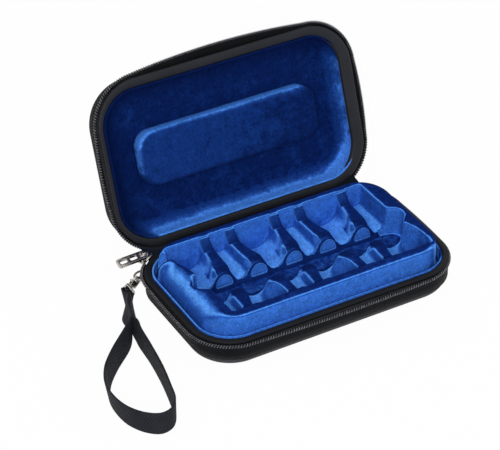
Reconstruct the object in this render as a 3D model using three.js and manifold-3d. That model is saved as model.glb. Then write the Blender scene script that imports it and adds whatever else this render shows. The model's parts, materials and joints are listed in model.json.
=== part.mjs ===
// Zipped hard case for six brass mouthpieces, with its lid open and a wrist strap on a snap hook.
// Units are millimetres. +Z is up, +X runs along the case and +Y points to the hinge.
// The origin is the middle of the base's underside.

import * as THREE from 'three';
import { mergeVertices } from 'three/addons/utils/BufferGeometryUtils.js';
import Module from 'manifold-3d';

const wasm = await Module();
wasm.setup();

// Clearance between pieces that lie against each other, and how far a cut runs past a face
const seatGap = 0.3;
const cutOverrun = 2;

// The velvet-lined mouth that base and lid share, seen from above
const mouthLength = 207;
const mouthDepth = 117.4;
const mouthRadius = 28.5;

// How finely round forms are cut: whole corners, sides, part corners, edge roundings and small curves
const cornerSteps = 9;
const sideSteps = 7;
const partCornerSteps = 6;
const bendSteps = 3;
const roundSteps = 4;
const innerRoundSteps = 3;
const curveSteps = 5;
const fineCurveSteps = 10;

// Walls, from the mouth outwards
const liningThickness = 1.6;
const shellThickness = 3.7;
const clothThickness = 1;

// Base
const baseRimHeight = 25;
const baseFootRadius = 9;
const baseFloorThickness = 3;
const baseLiningRadius = 6;
const bindingHeight = 2.7;
const baseBindingReach = 5.6;
const bindingShoulderShare = 0.45;
const liningRise = 0.3;

// Lid, in its closed place: its rim rests this far above the base's rim
const rimGap = 6;
const lidInsideDepth = 17;
const lidRoofThickness = 3;
const lidEdgeRadius = 12;
const lidLiningRadius = 9;
const lidBindingReach = 7.2;
const lidOpenAngle = 110;

// Pad on the lid's ceiling
const padLength = 153;
const padWidth = 43;
const padRadius = 13;
const padHeight = 13.2;
const padEdgeRadius = 4;

// Zip: a tape sewn to each shell's side, with a coil along its free edge
const tapeThickness = 0.9;
const tapeFootDrop = 14;
const coilRadius = 1.1;
const coilSides = 6;
const tapeToCoil = 1;
const baseCoilReach = 8;
const baseCoilDrop = 2.4;
const baseLongBow = 2;
const baseShortBow = 0.8;
const lidCoilReach = 10.4;
const lidCoilRise = 2;
const lidLongBow = 4.5;
const lidShortBow = 1.5;
const baseZipAngle = 131;
const lidZipAngle = 112;
const zipEndTabAngles = [93, 110];

// Hinge cloth: its fold line runs along the back, outside the rim, and its ends turn into both corners
const hingeReach = 7.6;
const hingeDrop = 2.4;
const baseLeafTurn = 2;
const lidLeafTurn = 19;
const baseLeafStandOff = 0.28;
const lidLeafStandOff = 0.7;
const hingeSewnDepth = 7;

// Tray: flocked foam block with the mouthpiece pockets
const trayTop = 38.5;
const trayInset = 4.6;
const trayFootInset = 2.4;
const trayStepHeight = 17;
const trayEdgeRadius = 3;
const trayEndReach = 17;
const trayEndDrop = 7;
const trayUnderGap = 0.4;

// Pockets for six mouthpieces, laid head to tail
const pocketCount = 6;
const pocketPitch = 30;
const pocketLength = 90;
const pocketShiftX = 1.5;
const pocketShiftY = 1.3;
const pocketAxisDrop = 11.1;
const cupRadius = 14.5;
const shankRadius = 6.2;
const pocketSides = 28;
const pocketOutline = 15;
// Each entry: share of the pocket's length from the cup end, and share of the way from shank to cup radius
const pocketProfileShares = [
  [0, 1],
  [0.1, 0.98],
  [0.22, 0.8],
  [0.31, 0.46],
  [0.39, 0.26],
  [0.55, 0.16],
  [0.78, 0.07],
  [1, 0],
];
const landDrop = 8;

// Finger channel across all the pockets
const channelWidth = 19;
const channelFloor = 17;
const channelEndReach = 15.8;
const channelShiftY = -1.5;

// Zip slider, its bail and the pull
const sliderAngle = 122;
const sliderLength = 9.5;
const sliderInnerReach = 2;
const sliderOuterReach = 6.4;
const sliderPlate = 1;
const sliderMouth = 3;
const sliderFlange = 1.1;
const sliderNose = 2.4;
const postLength = 3.4;
const postWidth = 1.5;
const postBack = 1.1;
const bailRadius = 3.1;
const bailWire = 1.2;
const bailShift = 1;
const pullLength = 22;
const pullWidth = 9.4;
const pullHeadWidth = 8.8;
const pullThickness = 1.2;
const pullBar = 1.2;
const pullRim = 1.8;
const pullCorner = 2.6;
const pullSlotWidth = 5.8;
const pullSlotLength = 3.6;
const pullDroop = 8;
const pullHeading = 174;
const barLift = 1.7;

// Strap ring and the webbing tab that holds it
const ringAngle = 135;
const ringHeight = 13;
const ringStandOff = 4.4;
const ringWire = 1.8;
const ringLength = 15;
const ringReach = 9;
const ringDroop = 10;
const ringBarShare = 1 / 3;
const ringSteps = 14;
const wireSides = 10;
const tabWidth = 5;
const tabThickness = 1.1;
const tabClearance = 0.45;
const tabSewnDrop = 3.5;

// Snap hook, measured from the middle of the ring's wire
const hookRingAngle = 62;
const hookHeading = new THREE.Vector3(-0.85, -0.25, -0.46);
const hookClearance = 0.5;
const hookWall = 1.4;
const hookTipAngle = 100;
const hookThickness = 3;
const hookBlockStart = 2.1;
const hookTail = 6.8;
const hookSteps = 10;
const boltRadius = 0.65;
const boltLength = 4.4;
const sleeveWall = 0.6;
const knobAlong = 3.7;
const knobStemRadius = 0.5;
const knobRadius = 1.2;
const knobHeight = 1.1;
const knobSides = 16;
const stemRadius = 0.7;
const stemLength = 2.4;
const eyeWidth = 14;
const eyeLength = 3.8;
const eyeRadius = 1.5;
const eyeWire = 1.4;
const eyeSteps = 3;

// Wrist strap: its stations are [x and y from the eye's bar, outward lean of the band's top, width]
const strapThickness = 1.5;
const strapLift = 0.3;
const foldClearance = 0.4;
const strapFoldWidth = eyeWidth - 2 * (eyeWire + foldClearance);
const strapSteps = 4;
const foldShares = [-1, -0.5, 0, 0.5, 1];
const strapRoute = [
  [-4.3, 0.9, 16, 12],
  [-7.1, -4.5, 8, 13.5],
  [-7.5, -12.2, -4, 16],
  [-13.7, -21.8, -9, 19],
  [-18.5, -37.2, 5, 19],
  [-28.3, -54.4, 9, 19],
  [-45.9, -71.4, 9, 19],
  [-59.3, -85.4, 9, 19],
  [-67.3, -100.4, 9, 19],
  [-68.9, -115.4, 8, 19],
  [-66.3, -130.4, 5, 19],
  [-58.9, -142.8, 2, 19],
  [-49.9, -148.8, 0, 19],
  [-40.9, -147, 0, 19],
  [-33.9, -138.4, 0, 19],
  [-29.9, -124.4, 0, 19],
  [-24.9, -102.4, 0, 19],
  [-20.9, -76.4, 0, 19],
  [-18.9, -55.4, -3, 19],
  [-15.3, -39.9, -12, 19],
  [-8.9, -25.6, -12, 19],
  [-4.2, -13.8, -6, 16],
  [-2.8, -7, -16, 13],
];

// Half sizes and heights that follow from the values above
const cornerX = mouthLength / 2 - mouthRadius;
const cornerY = mouthDepth / 2 - mouthRadius;
const shellIn = seatGap;
const shellOut = seatGap + shellThickness;
const clothIn = shellOut + seatGap;
const baseShellTop = baseRimHeight - bindingHeight - seatGap;
const lidRim = baseRimHeight + rimGap;
const hingeY = mouthDepth / 2 + hingeReach;
const hingeZ = baseRimHeight - hingeDrop;
const baseCoilHeight = baseRimHeight - baseCoilDrop;
const lidCoilHeight = lidRim + lidCoilRise;

// Materials
const velvetRoughness = 0.9;
const shellRoughness = 0.75;
const bandRoughness = 0.7;
const coilRoughness = 0.5;
const metalRoughness = 0.35;
const metalness = 0.9;
const shellBlack = 0x3a3b40;
const velvetBlue = 0x2757b0;
const tapeBlack = 0x2b2c31;
const coilBlack = 0x3c3d42;
const strapBlack = 0x2a2b31;
const nickel = 0xb9b6b0;

function cloth(color, roughness = velvetRoughness) {
  return new THREE.MeshStandardMaterial({ color, roughness, metalness: 0 });
}

function metal(color) {
  return new THREE.MeshStandardMaterial({ color, roughness: metalRoughness, metalness });
}

// Mesh building: points joined into a closed body whose faces point out
function toSolid(points, faces) {
  const geometry = new THREE.BufferGeometry();
  geometry.setAttribute('position', new THREE.Float32BufferAttribute(points.flat(), 3));
  geometry.setIndex(faces.flat());
  return facingOut(mergeVertices(geometry));
}

function facingOut(geometry) {
  const p = geometry.getAttribute('position');
  const index = geometry.getIndex();
  const corner = [new THREE.Vector3(), new THREE.Vector3(), new THREE.Vector3()];
  let volume = 0;
  for (let i = 0; i < index.count; i += 3) {
    corner.forEach((v, k) => v.fromBufferAttribute(p, index.getX(i + k)));
    volume += corner[0].dot(corner[1].clone().cross(corner[2]));
  }
  if (volume < 0) {
    for (let i = 0; i < index.count; i += 3) {
      const first = index.getX(i);
      index.setX(i, index.getX(i + 1));
      index.setX(i + 1, first);
    }
  }
  geometry.computeVertexNormals();
  return geometry;
}

function bare(geometry) {
  const clean = geometry.clone();
  clean.deleteAttribute('normal');
  clean.deleteAttribute('uv');
  return mergeVertices(clean);
}

function manifoldOf(geometry) {
  const merged = bare(geometry);
  return new wasm.Manifold(new wasm.Mesh({
    numProp: 3,
    vertProperties: new Float32Array(merged.getAttribute('position').array),
    triVerts: new Uint32Array(merged.getIndex().array),
  }));
}

function geometryOf(solid) {
  const mesh = solid.getMesh();
  const geometry = new THREE.BufferGeometry();
  geometry.setAttribute('position', new THREE.BufferAttribute(new Float32Array(mesh.vertProperties), 3));
  geometry.setIndex(new THREE.BufferAttribute(new Uint32Array(mesh.triVerts), 1));
  geometry.computeVertexNormals();
  return geometry;
}

// Path round a rounded rectangle, anticlockwise from its right side.
// Each station has its place, its outward normal and its share of the bow of the side it is on.
function cornerStations(cx, cy, radius, from, to, steps) {
  return Array.from({ length: steps + 1 }, (_, k) => {
    const angle = THREE.MathUtils.degToRad(from + ((to - from) * k) / steps);
    const nx = Math.cos(angle);
    const ny = Math.sin(angle);
    return { x: cx + radius * nx, y: cy + radius * ny, nx, ny, long: 0, short: 0 };
  });
}

function sideStations(a, b, steps) {
  return Array.from({ length: steps - 1 }, (_, k) => {
    const t = (k + 1) / steps;
    const bow = 4 * t * (1 - t);
    const onLong = Math.abs(a.ny) > Math.abs(a.nx);
    return {
      x: a.x + (b.x - a.x) * t,
      y: a.y + (b.y - a.y) * t,
      nx: a.nx,
      ny: a.ny,
      long: onLong ? bow : 0,
      short: onLong ? 0 : bow,
    };
  });
}

function roundedPath(length, depth, radius, steps) {
  const cx = length / 2 - radius;
  const cy = depth / 2 - radius;
  return [
    ...cornerStations(cx, cy, radius, 0, 90, steps),
    ...cornerStations(-cx, cy, radius, 90, 180, steps),
    ...cornerStations(-cx, -cy, radius, 180, 270, steps),
    ...cornerStations(cx, -cy, radius, 270, 360, steps),
  ];
}

// A zip's way: from this angle on the back left corner round the front to the back right corner
function zipPath(start) {
  const arcs = [
    cornerStations(-cornerX, cornerY, mouthRadius, start, 180, partCornerSteps),
    cornerStations(-cornerX, -cornerY, mouthRadius, 180, 270, cornerSteps),
    cornerStations(cornerX, -cornerY, mouthRadius, 270, 360, cornerSteps),
    cornerStations(cornerX, cornerY, mouthRadius, 0, 180 - start, partCornerSteps),
  ];
  return arcs.flatMap((arc, k) => {
    const next = arcs[k + 1];
    return next ? [...arc, ...sideStations(arc.at(-1), next[0], sideSteps)] : arc;
  });
}

// Rings of points joined side to side. With an outline of the ring its two ends are closed;
// without one the last ring joins the first.
function bridge(rings, outline) {
  const turned = outline && THREE.ShapeUtils.area(outline) < 0;
  const ordered = turned ? rings.map((ring) => [...ring].reverse()) : rings;
  const n = rings[0].length;
  const faces = [];
  const laps = outline ? rings.length - 1 : rings.length;
  for (let i = 0; i < laps; i += 1) {
    const here = i * n;
    const next = ((i + 1) % rings.length) * n;
    for (let k = 0; k < n; k += 1) {
      const up = (k + 1) % n;
      faces.push([here + k, next + k, next + up], [here + k, next + up, here + up]);
    }
  }
  if (outline) {
    const flat = turned ? [...outline].reverse() : outline;
    const end = (rings.length - 1) * n;
    for (const [a, b, c] of THREE.ShapeUtils.triangulateShape(flat, [])) {
      faces.push([a, b, c], [end + a, end + c, end + b]);
    }
  }
  return toSolid(ordered.flat(), faces);
}

// A stack of outlines, each a level [offset, height, offset and height at the two short ends]
function stack(path, levels) {
  const rings = levels.map(([offset, z, endOffset = offset, endZ = z]) => path.map((s) => {
    const end = s.nx * s.nx;
    const reach = offset + (endOffset - offset) * end;
    return [s.x + s.nx * reach, s.y + s.ny * reach, z + (endZ - z) * end];
  }));
  return bridge(rings, path.map((s) => new THREE.Vector2(s.x, s.y)));
}

// A section [offset, height, share of the bow] carried along a path, closed or with two ends
function sweep(section, path, { closed = false, longBow = 0, shortBow = 0 } = {}) {
  const rings = path.map((s) => {
    const bow = s.long * longBow + s.short * shortBow;
    return section.map(([offset, z, free = 0]) => {
      const reach = offset + bow * free;
      return [s.x + s.nx * reach, s.y + s.ny * reach, z];
    });
  });
  return bridge(rings, closed ? null : section.map(([offset, z]) => new THREE.Vector2(offset, z)));
}

// Quarter-round steps from one level to the next: outwards and up, or inwards and up
function roundUnder(offset, z, radius, steps = roundSteps) {
  return Array.from({ length: steps + 1 }, (_, k) => {
    const t = (Math.PI / 2) * (k / steps);
    return [offset - radius * (1 - Math.sin(t)), z + radius * (1 - Math.cos(t))];
  });
}

function roundOver(offset, z, radius, steps = roundSteps) {
  return roundUnder(offset, 0, radius, steps).reverse().map(([o, h]) => [o, z - h]);
}

const mouthPath = roundedPath(mouthLength, mouthDepth, mouthRadius, cornerSteps);
const meshes = new THREE.Group();
const lid = new THREE.Group();

function add(name, geometry, material, parent = meshes) {
  const mesh = new THREE.Mesh(geometry, material);
  mesh.name = name;
  parent.add(mesh);
  return mesh;
}

// Base: moulded shell, velvet liner and the binding that covers the shell's edge
function baseShell() {
  return stack(mouthPath, [
    ...roundUnder(shellOut, 0, baseFootRadius),
    [shellOut, baseShellTop],
    [shellIn, baseShellTop],
    ...roundUnder(shellIn, baseFloorThickness, baseLiningRadius, innerRoundSteps).reverse(),
  ]);
}

function baseLining() {
  const floor = baseFloorThickness + seatGap;
  return stack(mouthPath, [
    ...roundUnder(0, floor, baseLiningRadius, innerRoundSteps),
    [0, baseRimHeight + liningRise],
    [-liningThickness, baseRimHeight + liningRise],
    ...roundUnder(-liningThickness, floor + liningThickness, baseLiningRadius, innerRoundSteps).reverse(),
  ]);
}

// The binding is a flattened half round with its flat side on the shell's edge
function binding(reach, flatZ, crownZ) {
  const crown = crownZ - flatZ;
  const width = reach - seatGap;
  const arch = Array.from({ length: roundSteps + 1 }, (_, k) => {
    const t = (Math.PI * k) / roundSteps;
    const rise = bindingShoulderShare + (1 - bindingShoulderShare) * Math.sin(t);
    return [seatGap + (width / 2) * (1 - Math.cos(t)), flatZ + crown * rise];
  });
  return sweep([[seatGap, flatZ], ...arch, [reach, flatZ]], mouthPath, { closed: true });
}

add('base_shell', baseShell(), cloth(shellBlack, shellRoughness));
add('base_lining', baseLining(), cloth(velvetBlue));
const baseBand = binding(baseBindingReach, baseRimHeight - bindingHeight, baseRimHeight);
add('base_binding', baseBand, cloth(tapeBlack, bandRoughness));

// Lid: the same layers upside down, in the closed place, then turned open about the hinge
function lidShell() {
  const roof = lidRim + lidInsideDepth + liningThickness + seatGap;
  const inside = lidLiningRadius + liningThickness;
  return stack(mouthPath, [
    ...roundOver(shellIn, roof, inside, innerRoundSteps).reverse(),
    [shellIn, lidRim + bindingHeight + seatGap],
    [shellOut, lidRim + bindingHeight + seatGap],
    ...roundOver(shellOut, roof + lidRoofThickness, lidEdgeRadius),
  ]);
}

function lidLining() {
  const roof = lidRim + lidInsideDepth;
  return stack(mouthPath, [
    ...roundOver(-liningThickness, roof, lidLiningRadius, innerRoundSteps).reverse(),
    [-liningThickness, lidRim - liningRise],
    [0, lidRim - liningRise],
    ...roundOver(0, roof + liningThickness, lidLiningRadius + liningThickness, innerRoundSteps),
  ]);
}

function lidPad() {
  const roof = lidRim + lidInsideDepth - seatGap;
  const path = roundedPath(padLength, padWidth, padRadius, partCornerSteps);
  return stack(path, [...roundUnder(0, roof - padHeight, padEdgeRadius), [0, roof]]);
}

add('lid_shell', lidShell(), cloth(shellBlack, shellRoughness), lid);
add('lid_lining', lidLining(), cloth(velvetBlue), lid);
add('lid_pad', lidPad(), cloth(velvetBlue), lid);
const lidBand = binding(lidBindingReach, lidRim + bindingHeight, lidRim);
add('lid_binding', lidBand, cloth(tapeBlack, bandRoughness), lid);

// Zip tapes and coils. A tape runs flat against the shell's side, then leans out to its coil.
function tapeSection(coilReach, coilHeight, side) {
  const free = coilHeight - side * tapeToCoil;
  const bend = free - side * (coilReach - clothIn);
  const foot = coilHeight - side * tapeFootDrop;
  const end = coilReach - tapeToCoil;
  return [
    [clothIn, foot],
    [clothIn + tapeThickness, foot],
    [clothIn + tapeThickness, bend],
    [end + tapeThickness / 2, free - side * tapeThickness, 1],
    [end - tapeThickness / 2, free - side * seatGap, 1],
    [clothIn, bend + side * tapeThickness / 2],
  ];
}

function coilSection(coilReach, coilHeight) {
  return Array.from({ length: coilSides }, (_, k) => {
    const t = (2 * Math.PI * k) / coilSides;
    return [coilReach + coilRadius * Math.cos(t), coilHeight + coilRadius * Math.sin(t), 1];
  });
}

const baseWay = zipPath(baseZipAngle);
const baseBow = { longBow: baseLongBow, shortBow: baseShortBow };
const baseTape = sweep(tapeSection(baseCoilReach, baseCoilHeight, 1), baseWay, baseBow);
const baseCoil = sweep(coilSection(baseCoilReach, baseCoilHeight), baseWay, baseBow);
add('base_zip_tape', baseTape, cloth(tapeBlack));
add('base_zip_coil', baseCoil, cloth(coilBlack, coilRoughness));

const lidWay = zipPath(lidZipAngle);
const lidBow = { longBow: lidLongBow, shortBow: lidShortBow };
const lidTape = sweep(tapeSection(lidCoilReach, lidCoilHeight, -1), lidWay, lidBow);
const lidCoil = sweep(coilSection(lidCoilReach, lidCoilHeight), lidWay, lidBow);
add('lid_zip_tape', lidTape, cloth(tapeBlack), lid);
add('lid_zip_coil', lidCoil, cloth(coilBlack, coilRoughness), lid);

// Cloth tabs that close off the two ends of the zip, on the base's back corners
function zipEndTab(mirror) {
  const [from, to] = mirror ? zipEndTabAngles.map((a) => 180 - a).reverse() : zipEndTabAngles;
  const path = cornerStations(mirror ? cornerX : -cornerX, cornerY, mouthRadius, from, to, bendSteps);
  const foot = baseCoilHeight - tapeFootDrop;
  const top = baseShellTop - seatGap;
  const outer = clothIn + clothThickness;
  return sweep([[clothIn, foot], [outer, foot], [outer, top], [clothIn, top]], path);
}

add('zip_end_left', zipEndTab(false), cloth(tapeBlack));
add('zip_end_right', zipEndTab(true), cloth(tapeBlack));

// Hinge cloth in two leaves that meet at the fold line: one on the base's back, one on the lid's
function hingeLeaf(section, turn) {
  return sweep(section, [
    ...cornerStations(cornerX, cornerY, mouthRadius, 90 - turn, 90, bendSteps),
    ...cornerStations(-cornerX, cornerY, mouthRadius, 90, 90 + turn, bendSteps),
  ]);
}

function baseLeafSection() {
  const half = clothThickness / 2;
  const mitre = half * Math.tan(Math.PI / 8);
  const fold = [hingeReach - baseLeafStandOff, hingeZ - baseLeafStandOff];
  const bend = fold[1] - (fold[0] - clothIn - half);
  const slope = half * Math.SQRT1_2;
  return [
    [clothIn, bend - hingeSewnDepth],
    [clothIn + clothThickness, bend - hingeSewnDepth],
    [clothIn + clothThickness, bend - mitre],
    [fold[0] + slope, fold[1] - slope],
    [fold[0] - slope, fold[1] + slope],
    [clothIn, bend + mitre],
  ];
}

function lidLeafSection() {
  const inner = lidBindingReach + seatGap;
  const over = lidRim + bindingHeight + seatGap;
  const bend = over + inner - clothIn;
  const start = hingeZ + lidLeafStandOff;
  return [
    [hingeReach - clothThickness / 2, start],
    [hingeReach + clothThickness / 2, start],
    [inner + clothThickness, lidRim],
    [inner + clothThickness, over + clothThickness / 2],
    [clothIn + clothThickness, bend + clothThickness / 2],
    [clothIn + clothThickness, bend + hingeSewnDepth],
    [clothIn, bend + hingeSewnDepth],
    [clothIn, bend],
    [inner, over],
    [inner, lidRim],
  ];
}

add('hinge_cloth_base', hingeLeaf(baseLeafSection(), baseLeafTurn), cloth(tapeBlack));
add('hinge_cloth_lid', hingeLeaf(lidLeafSection(), lidLeafTurn), cloth(tapeBlack), lid);

// The lid's pieces were made in the closed place: turn them about the fold line
lid.children.forEach((mesh) => mesh.position.set(0, -hingeY, -hingeZ));
lid.position.set(0, hingeY, hingeZ);
lid.rotation.x = -THREE.MathUtils.degToRad(lidOpenAngle);
meshes.add(lid);

// Tray: block with rounded edges, less the pockets, the lowered lands and the finger channel
function trayBlock() {
  const under = baseFloorThickness + seatGap + liningThickness + trayUnderGap;
  const foot = -trayFootInset;
  const side = -trayInset;
  const top = Array.from({ length: roundSteps + 1 }, (_, k) => {
    const t = (Math.PI / 2) * (k / roundSteps);
    const inwards = 1 - Math.cos(t);
    const below = 1 - Math.sin(t);
    return [
      side - trayEdgeRadius * inwards,
      trayTop - trayEdgeRadius * below,
      side - trayEndReach * inwards,
      trayTop - trayEndDrop * below,
    ];
  });
  return stack(mouthPath, [
    ...roundUnder(foot, under, baseLiningRadius, innerRoundSteps),
    [foot, trayStepHeight],
    [side, trayStepHeight + trayInset],
    ...top,
  ]);
}

// One mouthpiece's pocket: the turned outline of the mouthpiece, open upwards
function pocketOutlinePoints() {
  const points = pocketProfileShares.map(([along, share]) => {
    return new THREE.Vector2(shankRadius + (cupRadius - shankRadius) * share, pocketLength * along);
  });
  return new THREE.SplineCurve(points).getPoints(pocketOutline);
}

function pocket() {
  const outline = pocketOutlinePoints();
  const turned = [new THREE.Vector2(0, 0), ...outline, new THREE.Vector2(0, pocketLength)];
  const round = manifoldOf(new THREE.LatheGeometry(turned, pocketSides));
  const mirrored = outline.map((p) => new THREE.Vector2(-p.x, p.y)).reverse();
  const height = pocketAxisDrop + cutOverrun;
  const well = new THREE.ExtrudeGeometry(new THREE.Shape([...outline, ...mirrored]), {
    depth: height,
    bevelEnabled: false,
  });
  return round.add(manifoldOf(well));
}

function upright(shape, bottom) {
  const geometry = new THREE.ExtrudeGeometry(shape, {
    depth: trayTop + cutOverrun - bottom,
    bevelEnabled: false,
    curveSegments: fineCurveSteps,
  });
  geometry.translate(0, 0, bottom);
  return manifoldOf(geometry);
}

function landRegion() {
  const halfRow = ((pocketCount - 1) * pocketPitch) / 2;
  const halfLength = pocketLength / 2;
  const shape = new THREE.Shape([
    new THREE.Vector2(pocketShiftX - halfRow, pocketShiftY - halfLength),
    new THREE.Vector2(pocketShiftX + halfRow, pocketShiftY - halfLength),
    new THREE.Vector2(pocketShiftX + halfRow, pocketShiftY + halfLength),
    new THREE.Vector2(pocketShiftX - halfRow, pocketShiftY + halfLength),
  ]);
  return upright(shape, trayTop - landDrop);
}

function channelRegion() {
  const half = ((pocketCount - 1) * pocketPitch) / 2 + channelEndReach - channelWidth / 2;
  const shape = new THREE.Shape();
  shape.absarc(pocketShiftX + half, channelShiftY, channelWidth / 2, -Math.PI / 2, Math.PI / 2);
  shape.absarc(pocketShiftX - half, channelShiftY, channelWidth / 2, Math.PI / 2, (3 * Math.PI) / 2);
  return upright(shape, channelFloor);
}

function tray() {
  let body = manifoldOf(trayBlock()).subtract(landRegion()).subtract(channelRegion());
  const single = pocket();
  for (let i = 0; i < pocketCount; i += 1) {
    const cupAtBack = i % 2 === 0;
    const x = pocketShiftX + pocketPitch * (i - (pocketCount - 1) / 2);
    const cupY = pocketShiftY + (cupAtBack ? 1 : -1) * (pocketLength / 2);
    const turned = single.rotate([0, 0, cupAtBack ? 180 : 0]);
    body = body.subtract(turned.translate([x, cupY, trayTop - pocketAxisDrop]));
  }
  return geometryOf(body);
}

add('tray_insert', tray(), cloth(velvetBlue));

// Flat pieces cut from an outline: lying level from z = 0 up, or standing with their middle on y = 0
function plate(shape, depth, curveSegments) {
  return new THREE.ExtrudeGeometry(shape, { depth, bevelEnabled: false, curveSegments });
}

function uprightPlate(shape, depth, curveSegments) {
  return plate(shape, depth, curveSegments).translate(0, 0, -depth / 2).rotateX(Math.PI / 2);
}

// Zip slider at the start of the zip: two plates, the post between them, a flange and a bail
function boxSolid(x0, x1, y0, y1, z0, z1) {
  const geometry = new THREE.BoxGeometry(x1 - x0, y1 - y0, z1 - z0);
  geometry.translate((x0 + x1) / 2, (y0 + y1) / 2, (z0 + z1) / 2);
  return manifoldOf(geometry);
}

function sliderPlateSolid(bottom, inner) {
  const half = sliderLength / 2;
  const shape = new THREE.Shape();
  shape.moveTo(-half, -sliderOuterReach + sliderNose);
  shape.quadraticCurveTo(-half, -sliderOuterReach, -half + sliderNose, -sliderOuterReach);
  shape.lineTo(half, -sliderOuterReach);
  shape.lineTo(half, inner);
  shape.lineTo(-half + sliderNose, inner);
  shape.quadraticCurveTo(-half, inner, -half, inner - sliderNose);
  return manifoldOf(plate(shape, sliderPlate, curveSteps).translate(0, 0, bottom));
}

function bailSolid(base) {
  const shape = new THREE.Shape();
  const outer = bailRadius + bailWire / 2;
  const inner = bailRadius - bailWire / 2;
  shape.absarc(0, 0, outer, 0, Math.PI);
  shape.lineTo(-outer, -sliderPlate / 2);
  shape.lineTo(-inner, -sliderPlate / 2);
  shape.absarc(0, 0, inner, Math.PI, 0, true);
  shape.lineTo(inner, -sliderPlate / 2);
  shape.lineTo(outer, -sliderPlate / 2);
  const geometry = uprightPlate(shape, bailWire, fineCurveSteps);
  geometry.translate(bailShift, sliderMiddle, base);
  return manifoldOf(geometry);
}

const sliderMiddle = (sliderInnerReach - sliderOuterReach) / 2;

function slider() {
  const half = sliderLength / 2;
  const top = sliderMouth / 2;
  const low = -top - sliderPlate;
  const rim = -sliderOuterReach;
  const postHalf = postWidth / 2;
  const postEnd = postBack + postLength;
  return geometryOf(
    sliderPlateSolid(top, sliderInnerReach)
      .add(sliderPlateSolid(low, sliderMiddle + postWidth))
      .add(boxSolid(-half + sliderNose, half, rim, rim + sliderFlange, low, top))
      .add(boxSolid(postBack, postEnd, sliderMiddle - postHalf, sliderMiddle + postHalf, -top, top))
      .add(bailSolid(top + sliderPlate)),
  );
}

const sliderTurn = THREE.MathUtils.degToRad(sliderAngle);
const sliderFrame = new THREE.Group();
sliderFrame.position.set(
  -cornerX + (mouthRadius + baseCoilReach) * Math.cos(sliderTurn),
  cornerY + (mouthRadius + baseCoilReach) * Math.sin(sliderTurn),
  baseCoilHeight,
);
sliderFrame.rotation.z = sliderTurn + Math.PI / 2;
meshes.add(sliderFrame);
add('zip_slider', slider(), metal(nickel), sliderFrame);

// Pull: a flat tongue with two windows. Its crossbar lies in the bail, and the bail passes its slot.
function roundedShape(Kind, x0, x1, halfStart, halfEnd, radius) {
  const shape = new Kind();
  shape.moveTo(x0 + radius, -halfStart);
  shape.lineTo(x1 - radius, -halfEnd);
  shape.quadraticCurveTo(x1, -halfEnd, x1, -halfEnd + radius);
  shape.lineTo(x1, halfEnd - radius);
  shape.quadraticCurveTo(x1, halfEnd, x1 - radius, halfEnd);
  shape.lineTo(x0 + radius, halfStart);
  shape.quadraticCurveTo(x0, halfStart, x0, halfStart - radius);
  shape.lineTo(x0, -halfStart + radius);
  shape.quadraticCurveTo(x0, -halfStart, x0 + radius, -halfStart);
  return shape;
}

function pull() {
  const start = -pullBar / 2;
  const slotEnd = start + pullBar + pullSlotLength;
  const headHalf = pullHeadWidth / 2;
  const endHalf = pullWidth / 2;
  const shape = roundedShape(THREE.Shape, start, pullLength, headHalf, endHalf, pullCorner);
  const slot = pullSlotWidth / 2;
  shape.holes.push(roundedShape(THREE.Path, start + pullBar, slotEnd, slot, slot, pullBar / 2));
  const windows = slotEnd + pullRim;
  const windowLength = (pullLength - windows - 2 * pullRim) / 2;
  for (let k = 0; k < 2; k += 1) {
    const from = windows + k * (windowLength + pullRim);
    const to = from + windowLength;
    const [near, far] = [from, to].map((x) => {
      return headHalf + ((endHalf - headHalf) * (x - start)) / (pullLength - start) - pullRim;
    });
    shape.holes.push(roundedShape(THREE.Path, from, to, near, far, pullCorner - pullRim / 2));
  }
  return facingOut(bare(plate(shape, pullThickness, curveSteps).translate(0, 0, -pullThickness / 2)));
}

const pullFrame = new THREE.Group();
const pullPivot = new THREE.Vector3(bailShift, sliderMiddle, sliderMouth / 2 + sliderPlate + barLift);
const pullTurn = THREE.MathUtils.degToRad(pullHeading);
sliderFrame.updateMatrixWorld(true);
pullFrame.position.copy(pullPivot.applyMatrix4(sliderFrame.matrixWorld));
pullFrame.rotation.set(0, THREE.MathUtils.degToRad(pullDroop), pullTurn, 'ZYX');
meshes.add(pullFrame);
add('zip_pull', pull(), metal(nickel), pullFrame);

// Strap ring: a D of round wire whose straight bar lies in a webbing tab on the back left corner
const ringTurn = THREE.MathUtils.degToRad(ringAngle);
const ringFrame = new THREE.Group();
ringFrame.position.set(
  -cornerX + (mouthRadius + shellOut + ringStandOff) * Math.cos(ringTurn),
  cornerY + (mouthRadius + shellOut + ringStandOff) * Math.sin(ringTurn),
  ringHeight,
);
ringFrame.rotation.set(0, THREE.MathUtils.degToRad(ringDroop), ringTurn, 'ZYX');
meshes.add(ringFrame);
ringFrame.updateMatrixWorld(true);

// Round wire along a closed loop that lies level
function wireLoop(centres, radius, sides) {
  const rings = centres.map((c, i) => {
    const ahead = centres[(i + 1) % centres.length].clone().sub(centres.at(i - 1)).normalize();
    const across = new THREE.Vector3(0, 0, 1).cross(ahead).normalize();
    return Array.from({ length: sides }, (_, k) => {
      const t = (2 * Math.PI * k) / sides;
      const p = c.clone().addScaledVector(across, radius * Math.cos(t));
      return [p.x, p.y, p.z + radius * Math.sin(t)];
    });
  });
  return bridge(rings, null);
}

function ringPoint(turn) {
  const reach = ringReach - ringWire;
  const half = (ringLength - ringWire) / 2;
  return new THREE.Vector3(reach * Math.cos(turn), half * Math.sin(turn), 0);
}

function ringWireCentres() {
  const bow = Array.from({ length: ringSteps + 1 }, (_, k) => {
    return ringPoint(Math.PI * (k / ringSteps - 1 / 2));
  });
  const bar = [bow.at(-1), bow[0]].map((end) => end.clone().multiplyScalar(ringBarShare));
  return [...bow, ...bar];
}

add('strap_ring', wireLoop(ringWireCentres(), ringWire / 2, wireSides), metal(nickel), ringFrame);

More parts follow.
